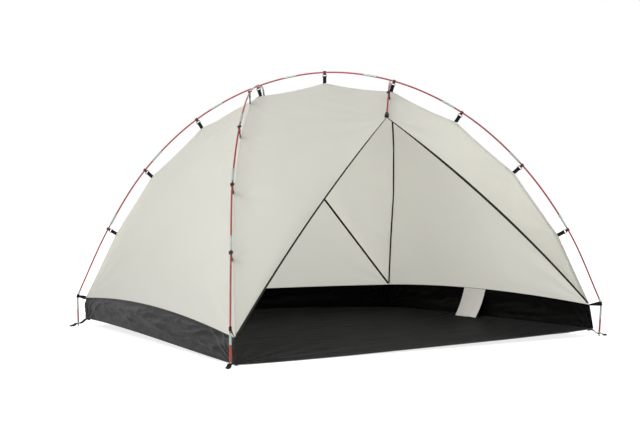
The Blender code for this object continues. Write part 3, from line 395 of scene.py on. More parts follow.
def wall_top(corner, height, outset=WALL_OUTSET):
    """The top of a tub corner, a little outside the floor's corner and in from its front or back."""
    return Vector((corner.x + outset * (1 if corner.x > 0 else -1),
                   corner.y - WALL_INSET * (1 if corner.y > 0 else -1), height))


TOP_FRONT_LEFT = wall_top(FRONT_LEFT, FRONT_LEFT_WALL_TOP, -FRONT_LEFT_WALL_LEAN)
TOP_BACK_RIGHT = wall_top(BACK_RIGHT, BACK_RIGHT_WALL_TOP)
TOP_BACK_LEFT = wall_top(BACK_LEFT, HIGH_WALL_TOP)
TOP_FRONT_RIGHT = wall_top(FRONT_RIGHT, HIGH_WALL_TOP)
LONG_STEPS = 5 * FINE
SHORT_STEPS = 4 * FINE


def long_seam():
    places = [seam_place(LONG_POLE, s) for s in LONG_CLIPS[1:-1]]
    return sagging([TOP_BACK_LEFT, *places, TOP_FRONT_RIGHT], SAG_SHARES + SAG_SHARES[::-1], LONG_STEPS)


def short_seam(corner, path, peak):
    places = [seam_place(path, s) for s in SHORT_CLIPS[1:]]
    return sagging([corner, *places, peak], [SAG_SHARES[1]] * len(SHORT_CLIPS), SHORT_STEPS)


def cloth_apex(path):
    """Where the cloth ends under the socket of a pole's stub."""
    along, _, out = path.frame(path.length)
    under = SOCKET_DIAMETER / 2 + SOCKET_PATCH_UNDER + SOCKET_CLOTH_GAP
    return path.at(path.length) + along * SOCKET_FLOOR - out * under


def straight(start, end, count):
    return [start.lerp(end, index / count) for index in range(count + 1)]


def bowed(start, end, towards, bow, count):
    """A line from start to end that bows out towards a point."""
    chord = end - start
    away = towards - start.lerp(end, 0.5)
    away = (away - chord * (away.dot(chord) / chord.length_squared)).normalized()
    return [start.lerp(end, share) + away * (bow * arched(share)) for share in np.arange(count + 1) / count]


def fine_shares(count):
    """The shares of an edge at which the floor's threads are bent, and the places between them."""
    shares = []
    for low, high in zip(FLOOR_SHARES, FLOOR_SHARES[1:]):
        shares += [low + (high - low) * step / count for step in range(count)]
    return shares + [1.0]


def band(start, end, middle):
    """The top of a tub wall: it arches up to a height in the middle."""
    arch = middle - (start.z + end.z) / 2
    return [start.lerp(end, share) + UP * (arch * arched(share)) for share in fine_shares(WALL_FINE)]


def floor_shares(point):
    """How far across and how deep a point of the floor lies, from 0 to 1."""
    return (point.x + FRONT_EDGE / 2) / FRONT_EDGE, (point.y + SIDE_EDGE / 2) / SIDE_EDGE


def hem_height(point):
    """How high the floor's underside hangs: its corners are lifted by the frame."""
    across, deep = floor_shares(point)
    edge = min(min(across, 1 - across) * FRONT_EDGE, min(deep, 1 - deep) * SIDE_EDGE)
    corners = (1 - deep) * ((1 - across) * LOW_CORNER + across * HIGH_CORNER)
    corners += deep * ((1 - across) * HIGH_CORNER + across * LOW_CORNER)
    arch = HEM_ARCH * deep * max(arched(across), arched(deep))
    fade = max(0.0, 1 - edge / HEM_RISE)
    return (corners + arch) * fade * fade


def floor_height(point):
    """The hem's height, with the front edge sagging to the ground between its corners."""
    across, deep = floor_shares(point)
    behind = max(0.0, 1 - deep * SIDE_EDGE / HEM_RISE)
    sag = FRONT_SAG * min(1.0, 1.1 * sqrt(max(0.0, arched(across)))) * behind * behind
    return max(0.0, hem_height(point) - sag)


LONG_SEAM = long_seam()
TO_CROSSING = 4 * LONG_STEPS
BACK_PEAK = LONG_SEAM[TO_CROSSING]
FRONT_PEAK = LONG_SEAM[-1 - TO_CROSSING]
LEFT_SEAM = short_seam(TOP_FRONT_LEFT, SHORT_POLE, BACK_PEAK)
RIGHT_SEAM = short_seam(TOP_BACK_RIGHT, BACK_POLE, FRONT_PEAK)
FRONT_CLOTH_APEX = cloth_apex(BACK_POLE)
BACK_CLOTH_APEX = cloth_apex(SHORT_POLE)
FRONT_STUB = straight(FRONT_PEAK, FRONT_CLOTH_APEX, 4 * FINE)
BACK_STUB = straight(BACK_PEAK, BACK_CLOTH_APEX, 4 * FINE)
FRONT_LEFT_EDGE = bowed(TOP_FRONT_LEFT, FRONT_CLOTH_APEX, BACK_PEAK, DOOR_LEFT_BOW, TO_CROSSING)
FRONT_RIGHT_EDGE = bowed(TOP_FRONT_RIGHT, FRONT_CLOTH_APEX, FRONT_PEAK, DOOR_RIGHT_BOW, TO_CROSSING)
BACK_RIGHT_EDGE = straight(TOP_BACK_RIGHT, BACK_CLOTH_APEX, TO_CROSSING)
BACK_LEFT_EDGE = straight(TOP_BACK_LEFT, BACK_CLOTH_APEX, TO_CROSSING)
LEFT_BAND = band(TOP_FRONT_LEFT, TOP_BACK_LEFT, SIDE_WALL_MIDDLE)
BACK_BAND = band(TOP_BACK_LEFT, TOP_BACK_RIGHT, BACK_WALL_MIDDLE)
RIGHT_BAND = band(TOP_BACK_RIGHT, TOP_FRONT_RIGHT, SIDE_WALL_MIDDLE)
CLIP_SEAM_PLACES = [seam_place(LONG_POLE, s) for s in LONG_CLIPS[1:-1]]
CLIP_SEAM_PLACES += [seam_place(path, s) for path in (SHORT_POLE, BACK_POLE) for s in SHORT_CLIPS[1:]]


# Materials

CANOPY_LIGHT = (0.91, 0.905, 0.862)
CANOPY_DARK = (0.835, 0.83, 0.787)
CANOPY_THREAD = (0.74, 0.735, 0.69)
CANOPY_GLOW = (0.873, 0.868, 0.825)
CREASED = (16.0, 16.0, 42.0)
STITCH = 0.0042
THREAD = 0.00045


class Wire:
    """A node's output that takes part in Python sums."""

    def __init__(self, nodes, socket):
        self.nodes = nodes
        self.socket = socket

    def sum(self, operation, *values, **settings):
        return self.nodes.node("ShaderNodeMath", {"operation": operation, **settings}, values)

    def __add__(self, other):
        return self.sum("ADD", self, other)

    def __sub__(self, other):
        return self.sum("SUBTRACT", self, other)

    def __mul__(self, other):
        return self.sum("MULTIPLY", self, other)

    def sine(self):
        return self.sum("SINE", self)

    def clamped(self):
        return self.sum("ADD", self, 0.0, use_clamp=True)

    def below(self, limit):
        return self.sum("LESS_THAN", self, limit)

    def size(self):
        return self.sum("ABSOLUTE", self)

    def wrapped(self, period):
        return self.sum("FLOORED_MODULO", self, period)


class Nodes:
    """A tree of nodes that is built up node by node."""

    def __init__(self, tree):
        self.tree = tree

    def put(self, target, value):
        """Gives a socket its value, or the link to the wire that brings it."""
        if isinstance(value, Wire):
            self.tree.links.new(value.socket, target)
        else:
            target.default_value = value

    def node(self, kind, settings=None, values=(), output=0):
        """A node with its settings, then the values or links of its sockets."""
        made = self.tree.nodes.new(kind)
        for setting, value in (settings or {}).items():
            setattr(made, setting, value)
        for socket, value in values.items() if isinstance(values, dict) else enumerate(values):
            self.put(made.inputs[socket], value)
        return Wire(self, made.outputs[output])


class Finish(Nodes):
    """One material, built from nodes."""

    def __init__(self, name, roughness, metallic=0.0, **shader):
        self.material = bpy.data.materials.new(name)
        self.material.use_nodes = True
        super().__init__(self.material.node_tree)
        self.shader = self.tree.nodes["Principled BSDF"]
        self.output = self.tree.nodes["Material Output"]
        for socket, value in {"Roughness": roughness, "Metallic": metallic, **shader}.items():
            self.set(socket.replace("_", " "), value)

    def set(self, socket, value):
        self.put(self.shader.inputs[socket], value)

    def place(self, stretch=(1, 1, 1)):
        """The piece's own coordinates in metres, stretched."""
        coordinates = self.node("ShaderNodeTexCoord", output="Object")
        return self.node("ShaderNodeMapping", {}, {"Vector": coordinates, "Scale": stretch})

    def threads(self):
        """The piece's own flat pattern: metres along and across the cloth."""
        flat = self.node("ShaderNodeUVMap", {"uv_map": "cut"})
        split = self.tree.nodes.new("ShaderNodeSeparateXYZ")
        self.tree.links.new(flat.socket, split.inputs[0])
        return flat, Wire(self, split.outputs["X"]), Wire(self, split.outputs["Y"])

    def noise(self, vector, scale, detail=3.0, roughness=0.5):
        return self.node("ShaderNodeTexNoise", {}, {
            "Vector": vector, "Scale": scale, "Detail": detail, "Roughness": roughness})

    def blend(self, share, first, second):
        """A colour between two colours."""
        first, second = [value if isinstance(value, Wire) else (*value, 1.0) for value in (first, second)]
        return self.node("ShaderNodeMix", {"data_type": "RGBA"}, {0: share, 6: first, 7: second}, output=2)

    def bump(self, height, strength, distance, under=None):
        """Small relief from a height, on top of another."""
        values = {"Height": height, "Strength": strength, "Distance": distance}
        if under is not None:
            values["Normal"] = under
        return self.node("ShaderNodeBump", {}, values)

    def see_through(self, share, colour):
        """Lets part of the light through, as thin cloth does."""
        glow = self.node("ShaderNodeBsdfTranslucent", {}, {"Color": (*colour, 1.0)})
        solid = Wire(self, self.shader.outputs[0])
        mixed = self.node("ShaderNodeMixShader", {}, (share, solid, glow))
        self.put(self.output.inputs["Surface"], mixed)


def weave(pitch, threads):
    """Height of a plain weave: threads over and under each other."""
    _, along, across = threads
    turns = 2 * pi / pitch
    return (along * turns).sine() * (across * turns).sine()


def stitch_rows(threads, offset, pitch=STITCH):
    """A mask of two rows of stitches, each at an offset from the strip's middle line."""
    _, along, across = threads
    beside = (across.size() - offset).size().below(THREAD)
    return beside * along.wrapped(pitch).below(pitch * 0.7)


def toned(colour, share):
    return [value * share for value in colour]


def pale_cloth(name, offset=None):
    """Thin pale cloth with uneven threads that lets light through; a tape of it is stitched."""
    made = Finish(name, 0.75, Sheen_Weight=0.08, Sheen_Roughness=0.5, Specular_IOR_Level=0.3)
    threads = made.threads()
    cloudy = made.noise(made.place(), 2.2, 4.0, 0.6)
    stretched = made.node("ShaderNodeMapping", {}, {"Vector": threads[0], "Scale": (9.0, 260.0, 1.0)})
    slub = made.noise(stretched, 1.0, 2.0)
    shade = (cloudy - 0.5) * 1.1 + (slub - 0.5) * 0.3 + 0.5
    colour = made.blend(shade.clamped(), CANOPY_DARK, CANOPY_LIGHT)
    if offset is not None:
        colour = made.blend(stitch_rows(threads, offset), colour, CANOPY_THREAD)
    made.set("Base Color", colour)
    creases = made.noise(made.place((1.0, 1.0, 0.55)), 7.0, 5.0, 0.55)
    bumped = made.bump(creases, 0.12, 0.02)
    made.set("Normal", made.bump(weave(0.0011, threads), 0.12, 0.0003, bumped))
    made.see_through(0.68, CANOPY_GLOW)
    return made.material


def coated_cloth(name, dark, light, roughness, shine, stretch, strength):
    """The thick coated cloth of the tub: a dull shine from its specular and relief, and a painted highlight
    over its creases and its upward-facing folds.
    """
    made = Finish(name, roughness, Specular_IOR_Level=shine)
    threads = made.threads()
    cloudy = made.noise(made.place(), 4.0, 4.0, 0.6)
    painted_highlight = made.node("ShaderNodeAttribute", {"attribute_name": "painted_highlight"}, {}, output=2)
    # Painted highlight: where the mesh's attribute marks a crest or a fold that faces upwards, the colour
    # goes up to 4.5 times the lighter tone.
    made.set("Base Color", made.blend(painted_highlight, made.blend(cloudy, dark, light), toned(light, 4.5)))
    made.set("Roughness", (cloudy - 0.5) * 0.16 + roughness)
    creases = made.noise(made.place(stretch), 1.0, 6.0, 0.62)
    bumped = made.bump(creases, strength, 0.012)
    made.set("Normal", made.bump(weave(0.0012, threads), 0.15, 0.0003, bumped))
    return made.material


def strip_cloth(name, colour, thread_colour, offset, roughness, pitch=0.0012, stitch=STITCH, wear=0.25):
    """Tape or webbing with two rows of stitches along it."""
    made = Finish(name, roughness, Sheen_Weight=0.03, Specular_IOR_Level=0.2)
    threads = made.threads()
    stitches = stitch_rows(threads, offset, stitch)
    worn = made.noise(made.place(), 60.0, 3.0)
    base = made.blend(worn, toned(colour, 1 - wear), toned(colour, 1 + wear))
    made.set("Base Color", made.blend(stitches, base, thread_colour))
    ribs = weave(pitch, threads) * 0.4 + stitches
    made.set("Normal", made.bump(ribs, 0.5, 0.0004))
    return made.material


def anodised(name, colour, roughness, streak):
    """Anodised tube: fine drawing marks along it and small changes of colour."""
    made = Finish(name, roughness, 0.75)
    marks = made.noise(made.place((300.0, 300.0, 300.0)), 1.0, 2.0)
    return hard(made, colour, roughness, marks, 22.0, 3.0, (0.86, 1.12), streak, 0.05)


def moulded_plastic(name, colour, roughness=0.42):
    """Black plastic with the fine grain of its mould."""
    made = Finish(name, roughness, Specular_IOR_Level=0.3)
    grain = made.noise(made.place(), 900.0, 2.0)
    return hard(made, colour, roughness, grain, 90.0, 2.0, (0.8, 1.3), 0.2, 0.15)


def hard(made, colour, roughness, marks, patches, detail, tones, uneven, relief):
    """A hard surface with patches of two tones, whose fine marks change its shine and relief."""
    cloudy = made.noise(made.place(), patches, detail)
    made.set("Base Color", made.blend(cloudy, *(toned(colour, tone) for tone in tones)))
    made.set("Roughness", (marks - 0.5) * uneven + roughness)
    made.set("Normal", made.bump(marks, relief, 0.0002))
    return made.material


def grey(value):
    return value, value, value


PALE = pale_cloth("sand_polyester")
SEAM_TAPE = pale_cloth("sand_seam", 0.0016)
TUB = coated_cloth("tub_coated_cloth", grey(0.011), grey(0.016), 0.36, 0.06, CREASED, 0.22)
# Painted shade: the tub's inner face is the same coated cloth as the outside, made several times darker
# because it lies in shade.
TUB_INNER_SHADE = coated_cloth("tub_inner_painted_shade", grey(0.002), grey(0.003), 0.5, 0.05, CREASED, 0.15)
FLOOR = coated_cloth("floor_coated_cloth", (0.0155, 0.0155, 0.0162), (0.0215, 0.0215, 0.0222),
                     0.48, 0.005, (6.0, 30.0, 10.0), 0.4)
# Painted highlight: the hem is a lighter grey than the floor, so the floor's front edge shows a light line.
HEM_HIGHLIGHT = strip_cloth("floor_hem_painted_highlight", grey(0.06), grey(0.09), 0.004, 0.6)
BINDING = strip_cloth("olive_black_binding", (0.016, 0.016, 0.011), (0.03, 0.03, 0.024), 0.0036, 0.8)
WEBBING_BLACK = strip_cloth("black_webbing_weave", grey(0.003), grey(0.008), 0.0075, 0.9, 0.0024)
RED = anodised("red_anodised_tube", (0.30, 0.048, 0.056), 0.36, 0.12)
WARM_RED = anodised("warm_red_anodised_tube", (0.27, 0.060, 0.045), 0.36, 0.12)
SILVER = anodised("bare_aluminium_ferrule", (0.33, 0.39, 0.365), 0.42, 0.14)
STEEL = anodised("zinc_plated_eyelet", (0.30, 0.31, 0.31), 0.35, 0.1)
BLACK = moulded_plastic("black_moulded_plastic", grey(0.005))
LABEL = strip_cloth("grey_label_cloth", (0.80, 0.76, 0.755), (0.60, 0.57, 0.565), 0.039, 0.8,
                    0.0014, 0.0030, 0.05)


# Making pieces

def link(name, data, paints=()):
    """Puts a mesh, a lamp or a lens into the scene; a mesh may bring its paints."""
    for paint in paints:
        data.materials.append(paint)
    piece = bpy.data.objects.new(name, data)
    bpy.context.scene.collection.objects.link(piece)
    return piece


def pick(piece):
    """Selects one piece alone and makes it active."""
    bpy.ops.object.select_all(action="DESELECT")
    piece.select_set(True)
    bpy.context.view_layer.objects.active = piece


def apply_modifier(piece, kind, **settings):
    pick(piece)
    step = piece.modifiers.new(kind.lower(), kind)
    for setting, value in settings.items():
        setattr(step, setting, value)
    bpy.ops.object.modifier_apply(modifier=step.name)


def smooth(piece, angle=35):
    pick(piece)
    bpy.ops.object.shade_smooth_by_angle(angle=radians(angle))


def edit(piece, *steps):
    """Takes steps on the whole of a piece's mesh, then turns its faces outwards."""
    pick(piece)
    bpy.ops.object.mode_set(mode="EDIT")
    for step in (*steps, partial(bpy.ops.mesh.normals_make_consistent, inside=False)):
        bpy.ops.mesh.select_all(action="SELECT")
        step()
    bpy.ops.object.mode_set(mode="OBJECT")


def added(shape, **sizes):
    """A simple shape added to the scene, alone and active."""
    bpy.ops.object.select_all(action="DESELECT")
    shape(**sizes)
    return bpy.context.object


def standing(x, y, z, place):
    """The matrix of a piece whose own x, y and z lie along these directions at a place."""
    return Matrix.Translation(place) @ Matrix((x, y, z)).transposed().to_4x4()


def heading(points, index):
    """Which way a line of points runs at one of them."""
    return (points[min(index + 1, len(points) - 1)] - points[max(index - 1, 0)]).normalized()


def ride(piece, body, slot, *nodes):
    """Fixes a piece to its body and hides the solids that it stands for; the slot is not used."""
    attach(piece, body)
    if nodes:
        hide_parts(*nodes)
    return piece


def as_array(points):
    return np.array([tuple(point) for point in points], float)


def fan(apex, side_a, side_b, far):
    """A cloth from an apex along two sides to a far edge, as a grid of points."""
    apex, side_a, side_b, far = np.array(apex), as_array(side_a), as_array(side_b), as_array(far)
    v = np.linspace(0, 1, len(side_a))[:, None]
    u = np.linspace(0, 1, len(far))[None, :, None]
    over_a = side_a - (apex + (side_a[-1] - apex) * v)
    over_b = side_b - (apex + (side_b[-1] - apex) * v)
    grid = apex + (far[None] - apex) * v[:, :, None]
    return grid + over_a[:, None] * (1 - u) + over_b[:, None] * u


def relaxed(grid, rounds):
    """The grid pulled taut: each inner point goes to the middle of its neighbours."""
    for _ in range(rounds):
        inner = (grid[:-2, 1:-1] + grid[2:, 1:-1] + grid[1:-1, :-2] + grid[1:-1, 2:]) / 4
        grid[1:-1, 1:-1] += (inner - grid[1:-1, 1:-1]) * 0.8
    return grid


def outward(grid):
    """Unit normals of a grid that point out of the tent."""
    down, across = np.gradient(grid, axis=0), np.gradient(grid, axis=1)
    normals = np.cross(down, across)
    normals /= np.maximum(np.linalg.norm(normals, axis=2, keepdims=True), 1e-12)
    lean = ((grid - np.array(STAR)) * normals).sum()
    return normals if lean > 0 else -normals


def rim_fade(grid, reach):
    """How free each point is: 0 on the rim, 1 further in than the reach."""
    rows, columns = grid.shape[:2]
    down = np.linalg.norm(np.diff(grid, axis=0), axis=2)
    across = np.linalg.norm(np.diff(grid, axis=1), axis=2)
    top = np.vstack([np.zeros(columns), np.cumsum(down, axis=0)])
    left = np.hstack([np.zeros((rows, 1)), np.cumsum(across, axis=1)])
    depth = np.minimum(np.minimum(top, top[-1] - top), np.minimum(left, left[:, -1:] - left))
    share = np.clip(depth / reach, 0, 1)
    return share * share * (3 - 2 * share)


def rumple(grid, stretch, seed, octaves=3):
    """Soft noise over a grid, from -1 to 1, finer by octaves."""
    shift = Vector((seed * 3.7, seed * 1.3, seed * 2.1))
    flat = (grid * np.array(stretch)).reshape(-1, 3)
    values = [noise.fractal(Vector(point) + shift, 1.0, 2.0, octaves) for point in flat]
    return np.array(values).reshape(grid.shape[:2])


def crest_highlight_mask(heights):
    """How much each point of a grid stands on a fold's sharp crest, from 0 to 1: the mask of painted
    highlight on fold crests.
    """
    bend = sum(np.gradient(np.gradient(heights, axis=axis), axis=axis) for axis in (1, 0))
    peak = np.quantile(-bend, SHARPEST)
    return np.clip((-bend / peak - 0.35) / 0.65, 0, 1) ** 1.5


def patterned(name, points, faces, flat):
    """A mesh with its threads' pattern: the place of each of its points on the flat cloth."""
    mesh = bpy.data.meshes.new(name)
    mesh.from_pydata(points, [], faces)
    corners = np.zeros(len(mesh.loops), int)
    mesh.loops.foreach_get("vertex_index", corners)
    mesh.uv_layers.new(name="cut").data.foreach_set("uv", np.array(flat)[corners].ravel())
    return mesh


def sheet_mesh(name, grid, width, length, pointed, paints, thickness=CLOTH, painted_highlight=None):
    """A cloth's mesh from its grid, with its threads' pattern and an optional mask of painted highlight,
    thickened inwards.
    """
    rows, columns = grid.shape[:2]
    beside = np.linspace(-width / 2, width / 2, columns)
    across, along = np.meshgrid(beside, np.linspace(0, length, rows))
    points = grid.reshape(-1, 3).tolist()
    flat = np.stack([along, across], axis=2).reshape(-1, 2)
    faces, first = [], 0
    if pointed:
        points = [tuple(grid[0, 0])] + points[columns:]
        flat = np.vstack([[0.0, 0.0], flat[columns:]])
        faces += [(0, 1 + index, 2 + index) for index in range(columns - 1)]
        first, rows = 1, rows - 1
    for row in range(rows - 1):
        for index in range(columns - 1):
            a = first + row * columns + index
            faces.append((a, a + columns, a + columns + 1, a + 1))
    mesh = patterned(name, points, faces, flat)
    normals, centres = np.zeros((2, len(mesh.polygons) * 3))
    mesh.polygons.foreach_get("normal", normals)
    mesh.polygons.foreach_get("center", centres)
    lean = ((centres.reshape(-1, 3) - np.array(STAR)) * normals.reshape(-1, 3)).sum()
    if lean < 0:
        mesh.flip_normals()
    # Keeps the mask of painted highlight on the points, for the material to read.
    if painted_highlight is not None:
        mesh.attributes.new("painted_highlight", "FLOAT", "POINT").data.foreach_set("value", painted_highlight.ravel())
    piece = link(name, mesh, paints)
    apply_modifier(piece, "SOLIDIFY", thickness=thickness, offset=-1.0, use_even_offset=False,
                   material_offset=len(paints) - 1)
    piece.data.shade_smooth()
    piece.data.set_sharp_from_angle(angle=radians(60))
    return piece


def skin(name, rings, across, paints):
    """A closed strip through rings of points; across gives each ring point's place across the cloth."""
    count = len(across)
    vertices, flat = [], []
    length = 0.0
    for index, ring in enumerate(rings):
        if index:
            length += (ring[0] - rings[index - 1][0]).length
        vertices += [tuple(point) for point in ring]
        flat += [(length, place) for place in across]
    last = (len(rings) - 1) * count
    faces = [tuple(range(count)), tuple(last + index for index in reversed(range(count)))]
    for row in range(0, last, count):
        for index in range(count):
            beside = (index + 1) % count
            faces.append((row + index, row + count + index, row + count + beside, row + beside))
    piece = link(name, patterned(name, vertices, faces, flat), paints)
    edit(piece)
    piece.data.shade_smooth()
    piece.data.set_sharp_from_angle(angle=radians(50))
    return piece


def strip(name, points, sides, outs, width, thickness, paints):
    """A ribbon with rounded edges along points; side and out give how it lies at each.

    The width is one size, or one for each point.
    """
    widths = width if isinstance(width, list) else [width] * len(points)
    thin = thickness / 2
    rings = []
    for point, side, out, wide in zip(points, sides, outs, widths):
        half = side * (wide / 2)
        ease = side * thin
        lift = out * thin
        rings.append([point - half, point - half + ease - lift, point + half - ease - lift,
                      point + half, point + half - ease + lift, point - half + ease + lift])
    half = widths[0] / 2
    return skin(name, rings, (-half, thin - half, half - thin, half, half - thin, thin - half), paints)


def folded_tape(name, points, half, start, thickness, paints):
    """A tape that lies on both cloths of a seam, inside them or, with a negative start, outside."""
    rings = []
    for index, point in enumerate(points):
        along = heading(points, index)
        wings = seam_wings(point, along)
        outs = []
        raised = (wings[0] + wings[1]).dot(point - STAR) < 0
        for wing, other in (wings, wings[::-1]):
            out = along.cross(wing).normalized()
            lean = out.dot(other)
            away = (-lean if raised else lean) if abs(lean) > 0.12 else out.dot(point - STAR)
            outs.append(out if away > 0 else -out)
        ridge = (outs[0] + outs[1]).normalized()
        inside = start > 0
        steep = max(ridge.dot(outs[0]), 0.12 if inside else 0.5)
        end = start + thickness if inside else start - thickness
        reach = half + (end * sqrt(1 - steep * steep) / steep if inside else 0.0)
        rings.append([
            point + wings[0] * reach - outs[0] * start,
            point - ridge * (start / steep),
            point + wings[1] * reach - outs[1] * start,
            point + wings[1] * reach - outs[1] * end,
            point - ridge * (end / steep),
            point + wings[0] * reach - outs[0] * end,
        ])
    return skin(name, rings, (-half, 0.0, half, half, 0.0, -half), paints)


EDGE_POINTS = []
EDGE_WAYS = []


def remember_edges(grid):
    """Keeps which way a cloth lies from each point of its edges."""
    for line, beside in ((grid[1:, 0], grid[1:, 1]), (grid[1:, -1], grid[1:, -2]), (grid[-1], grid[-2])):
        ways = beside - line
        EDGE_POINTS.extend(line)
        EDGE_WAYS.extend(ways / np.maximum(np.linalg.norm(ways, axis=1, keepdims=True), 1e-9))


def seam_wings(point, along):
    """The two ways in which the cloths leave a seam."""
    away = np.linalg.norm(np.array(EDGE_POINTS) - np.array(point), axis=1)
    found = [Vector(EDGE_WAYS[index]) for index in np.flatnonzero(away < away.min() + 1e-4)]
    flat = [(way - along * way.dot(along)).normalized() for way in found]
    first = flat[0]
    second = min(flat, key=lambda way: way.dot(first))
    if len(flat) < 2 or second.dot(first) > 0.995:
        out = (point - STAR).normalized()
        out = (out - along * out.dot(along)).normalized()
        second = out * (2 * first.dot(out)) - first
    return first, second


def joined(name, pieces):
    """Several pieces as one."""
    pick(pieces[0])
    for piece in pieces:
        piece.select_set(True)
    bpy.ops.object.join()
    pieces[0].name = pieces[0].data.name = name
    return pieces[0]


# The pale cloths

def fading(distance, reach):
    """The strength of a fold at a distance from its root: 0 at the root, 1 at the reach."""
    return (distance / reach) * np.exp(1 - distance / reach)


def tension(grid, normals, places, reach, rays, size):
    """Folds that run out from the places where the cloth is pulled."""
    heights = np.zeros(grid.shape[:2])
    middle = grid.reshape(-1, 3).mean(axis=0)
    for index, place in enumerate(places):
        away = grid - np.array(place)
        distance = np.linalg.norm(away, axis=2)
        if distance.min() > 0.02:
            continue
        normal = normals[np.unravel_index(distance.argmin(), distance.shape)]
        inward = middle - np.array(place)
        inward -= normal * inward.dot(normal)
        inward /= np.linalg.norm(inward)
        angle = np.arctan2(away @ np.cross(normal, inward), away @ inward)
        waves = np.cos(rays * angle + index * 1.9) * np.exp(-(angle / 1.1) ** 2)
        heights += size * fading(distance, reach) * waves
    return heights


def canopy():
    """The seven pale panels, each pulled taut between its seams and then folded a little."""
    base = len(LONG_SEAM) - 1
    to_left = LONG_SEAM[:TO_CROSSING + 1]
    top = LONG_SEAM[TO_CROSSING:base - TO_CROSSING + 1]
    to_right = LONG_SEAM[base - TO_CROSSING:][::-1]
    front_top, back_top = top + FRONT_STUB[1:], top[::-1] + BACK_STUB[1:]
    wall, roof = (2.05, 1.62, 1.62), (0.95, 1.85, 0.83)
    cloths = {
        "left_wall": (BACK_PEAK, LEFT_SEAM[::-1], to_left[::-1], LEFT_BAND, wall),
        "right_wall": (FRONT_PEAK, RIGHT_SEAM[::-1], to_right[::-1], RIGHT_BAND, wall),
        "front_roof": (TOP_FRONT_LEFT, LEFT_SEAM, FRONT_LEFT_EDGE, front_top, roof),
        "back_roof": (TOP_BACK_RIGHT, RIGHT_SEAM, BACK_RIGHT_EDGE, back_top, roof),
        "front_side": (TOP_FRONT_RIGHT, to_right, FRONT_RIGHT_EDGE, FRONT_STUB, (0.45, 1.7, 0.245)),
        "back_side": (TOP_BACK_LEFT, to_left, BACK_LEFT_EDGE, BACK_STUB, (0.45, 1.7, 0.28)),
        "back_panel": (BACK_CLOTH_APEX, BACK_LEFT_EDGE[::-1], BACK_RIGHT_EDGE[::-1], BACK_BAND,
                       (2.06, 1.10, 1.13)),
    }
    corners = [TOP_FRONT_LEFT, TOP_BACK_RIGHT, TOP_BACK_LEFT, TOP_FRONT_RIGHT]
    corners += [FRONT_CLOTH_APEX, BACK_CLOTH_APEX]
    for seed, (name, (apex, side_a, side_b, far, sizes)) in enumerate(cloths.items()):
        width, length, area = sizes
        grid = relaxed(fan(apex, side_a, side_b, far), TAUT_ROUNDS)
        normals = outward(grid)
        heights = CANOPY_RUMPLE * rim_fade(grid, 0.10) * rumple(grid, (2.2, 2.2, 2.2), seed, 3)
        pulled = rim_fade(grid, 0.03)
        heights += pulled * tension(grid, normals, CLIP_SEAM_PLACES, *CLIP_FOLDS)
        heights += pulled * tension(grid, normals, corners, *CORNER_FOLDS)
        remember_edges(grid)
        folded = grid + normals * heights[..., None]
        piece = sheet_mesh(f"{name}_cloth", folded, width, length, True, [PALE])
        ride(piece, "tent", "pale_cloth", name)


# The tub

def finer(line, times):
    """The same line with more points on each of its stretches."""
    steps = np.arange((len(line) - 1) * times + 1) / times
    return np.stack([np.interp(steps, np.arange(len(line)), line[:, axis]) for axis in range(3)], axis=1)


def strap_folds(grid, places, reach, rays, size):
    """Sharp folds that fan up from the tub's lower corners, where the floor straps pull."""
    heights = np.zeros(grid.shape[:2])
    middle = grid[grid.shape[0] // 2, grid.shape[1] // 2]
    for index, place in enumerate(places):
        away = grid - np.array(place)
        inward = middle - np.array(place)
        inward[2] = 0
        inward /= np.linalg.norm(inward)
        angle = np.arctan2(away[..., 2], away @ inward)
        uneven = 0.2 * rumple(grid, (6, 6, 6), index + 3, 2)
        fold = (1 - np.abs(np.sin(rays * angle / 2 + uneven))) ** 2
        heights += size * fading(np.linalg.norm(away, axis=2), reach) * fold * np.clip(angle * 2.2, 0, 1)
    return heights


def tub():
    """The three dark walls, which bulge between the hem and the canopy and fold at the corners."""
    sides = {
        "tub_wall_left": (FRONT_LEFT, BACK_LEFT, LEFT_BAND),
        "tub_wall_back": (BACK_LEFT, BACK_RIGHT, BACK_BAND),
        "tub_wall_right": (BACK_RIGHT, FRONT_RIGHT, RIGHT_BAND),
    }
    for seed, (name, (start, end, top)) in enumerate(sides.items()):
        edge = [start.lerp(end, share) for share in fine_shares(WALL_FINE)]
        hem = [point + UP * (hem_height(point) + FLOOR_CLOTH + 2 * GAP) for point in edge]
        low, high = finer(as_array(hem), 4), finer(as_array(top), 4)
        v = np.linspace(0, 1, WALL_ROWS)[:, None, None]
        grid = low[None] + (high - low)[None] * v
        normals = outward(grid)
        free = rim_fade(grid, 0.030)
        heights = WALL_RUMPLE * free * rumple(grid, (3.0, 3.0, 10.0), seed + 9, 3)
        folds = 1 - np.abs(rumple(grid, (2.6, 2.6, 20.0), seed + 21, 3))
        heights += WALL_FOLD * free * folds ** 3
        bulge_at = 0.50 + 0.26 * rumple(grid[:1], (2.2, 2.2, 1.0), seed + 40, 2)
        heights += WALL_BULGE * free * np.exp(-((v[..., 0] - bulge_at) / BULGE_SPREAD) ** 2)
        pulled = rim_fade(grid, 0.012) * strap_folds(grid, [start, end], *STRAP_FOLDS)
        heights += pulled
        # Painted highlight: the folds' faces that lean upwards, from the slope of the heights, and the
        # crests of the strap folds get a lighter colour.
        rising = -np.gradient(heights, axis=0)
        lit = np.clip(rising / np.quantile(rising, 0.97), 0, 1) ** 1.3
        lit = np.maximum(0.45 * lit * rim_fade(grid, 0.02), crest_highlight_mask(pulled))
        folded = grid + normals * heights[..., None]
        piece = sheet_mesh(f"{name}_cloth", folded, 2.0, 0.17, False, [TUB, TUB_INNER_SHADE], TUB_CLOTH, lit)
        ride(piece, "tent", "dark_cloth", name)


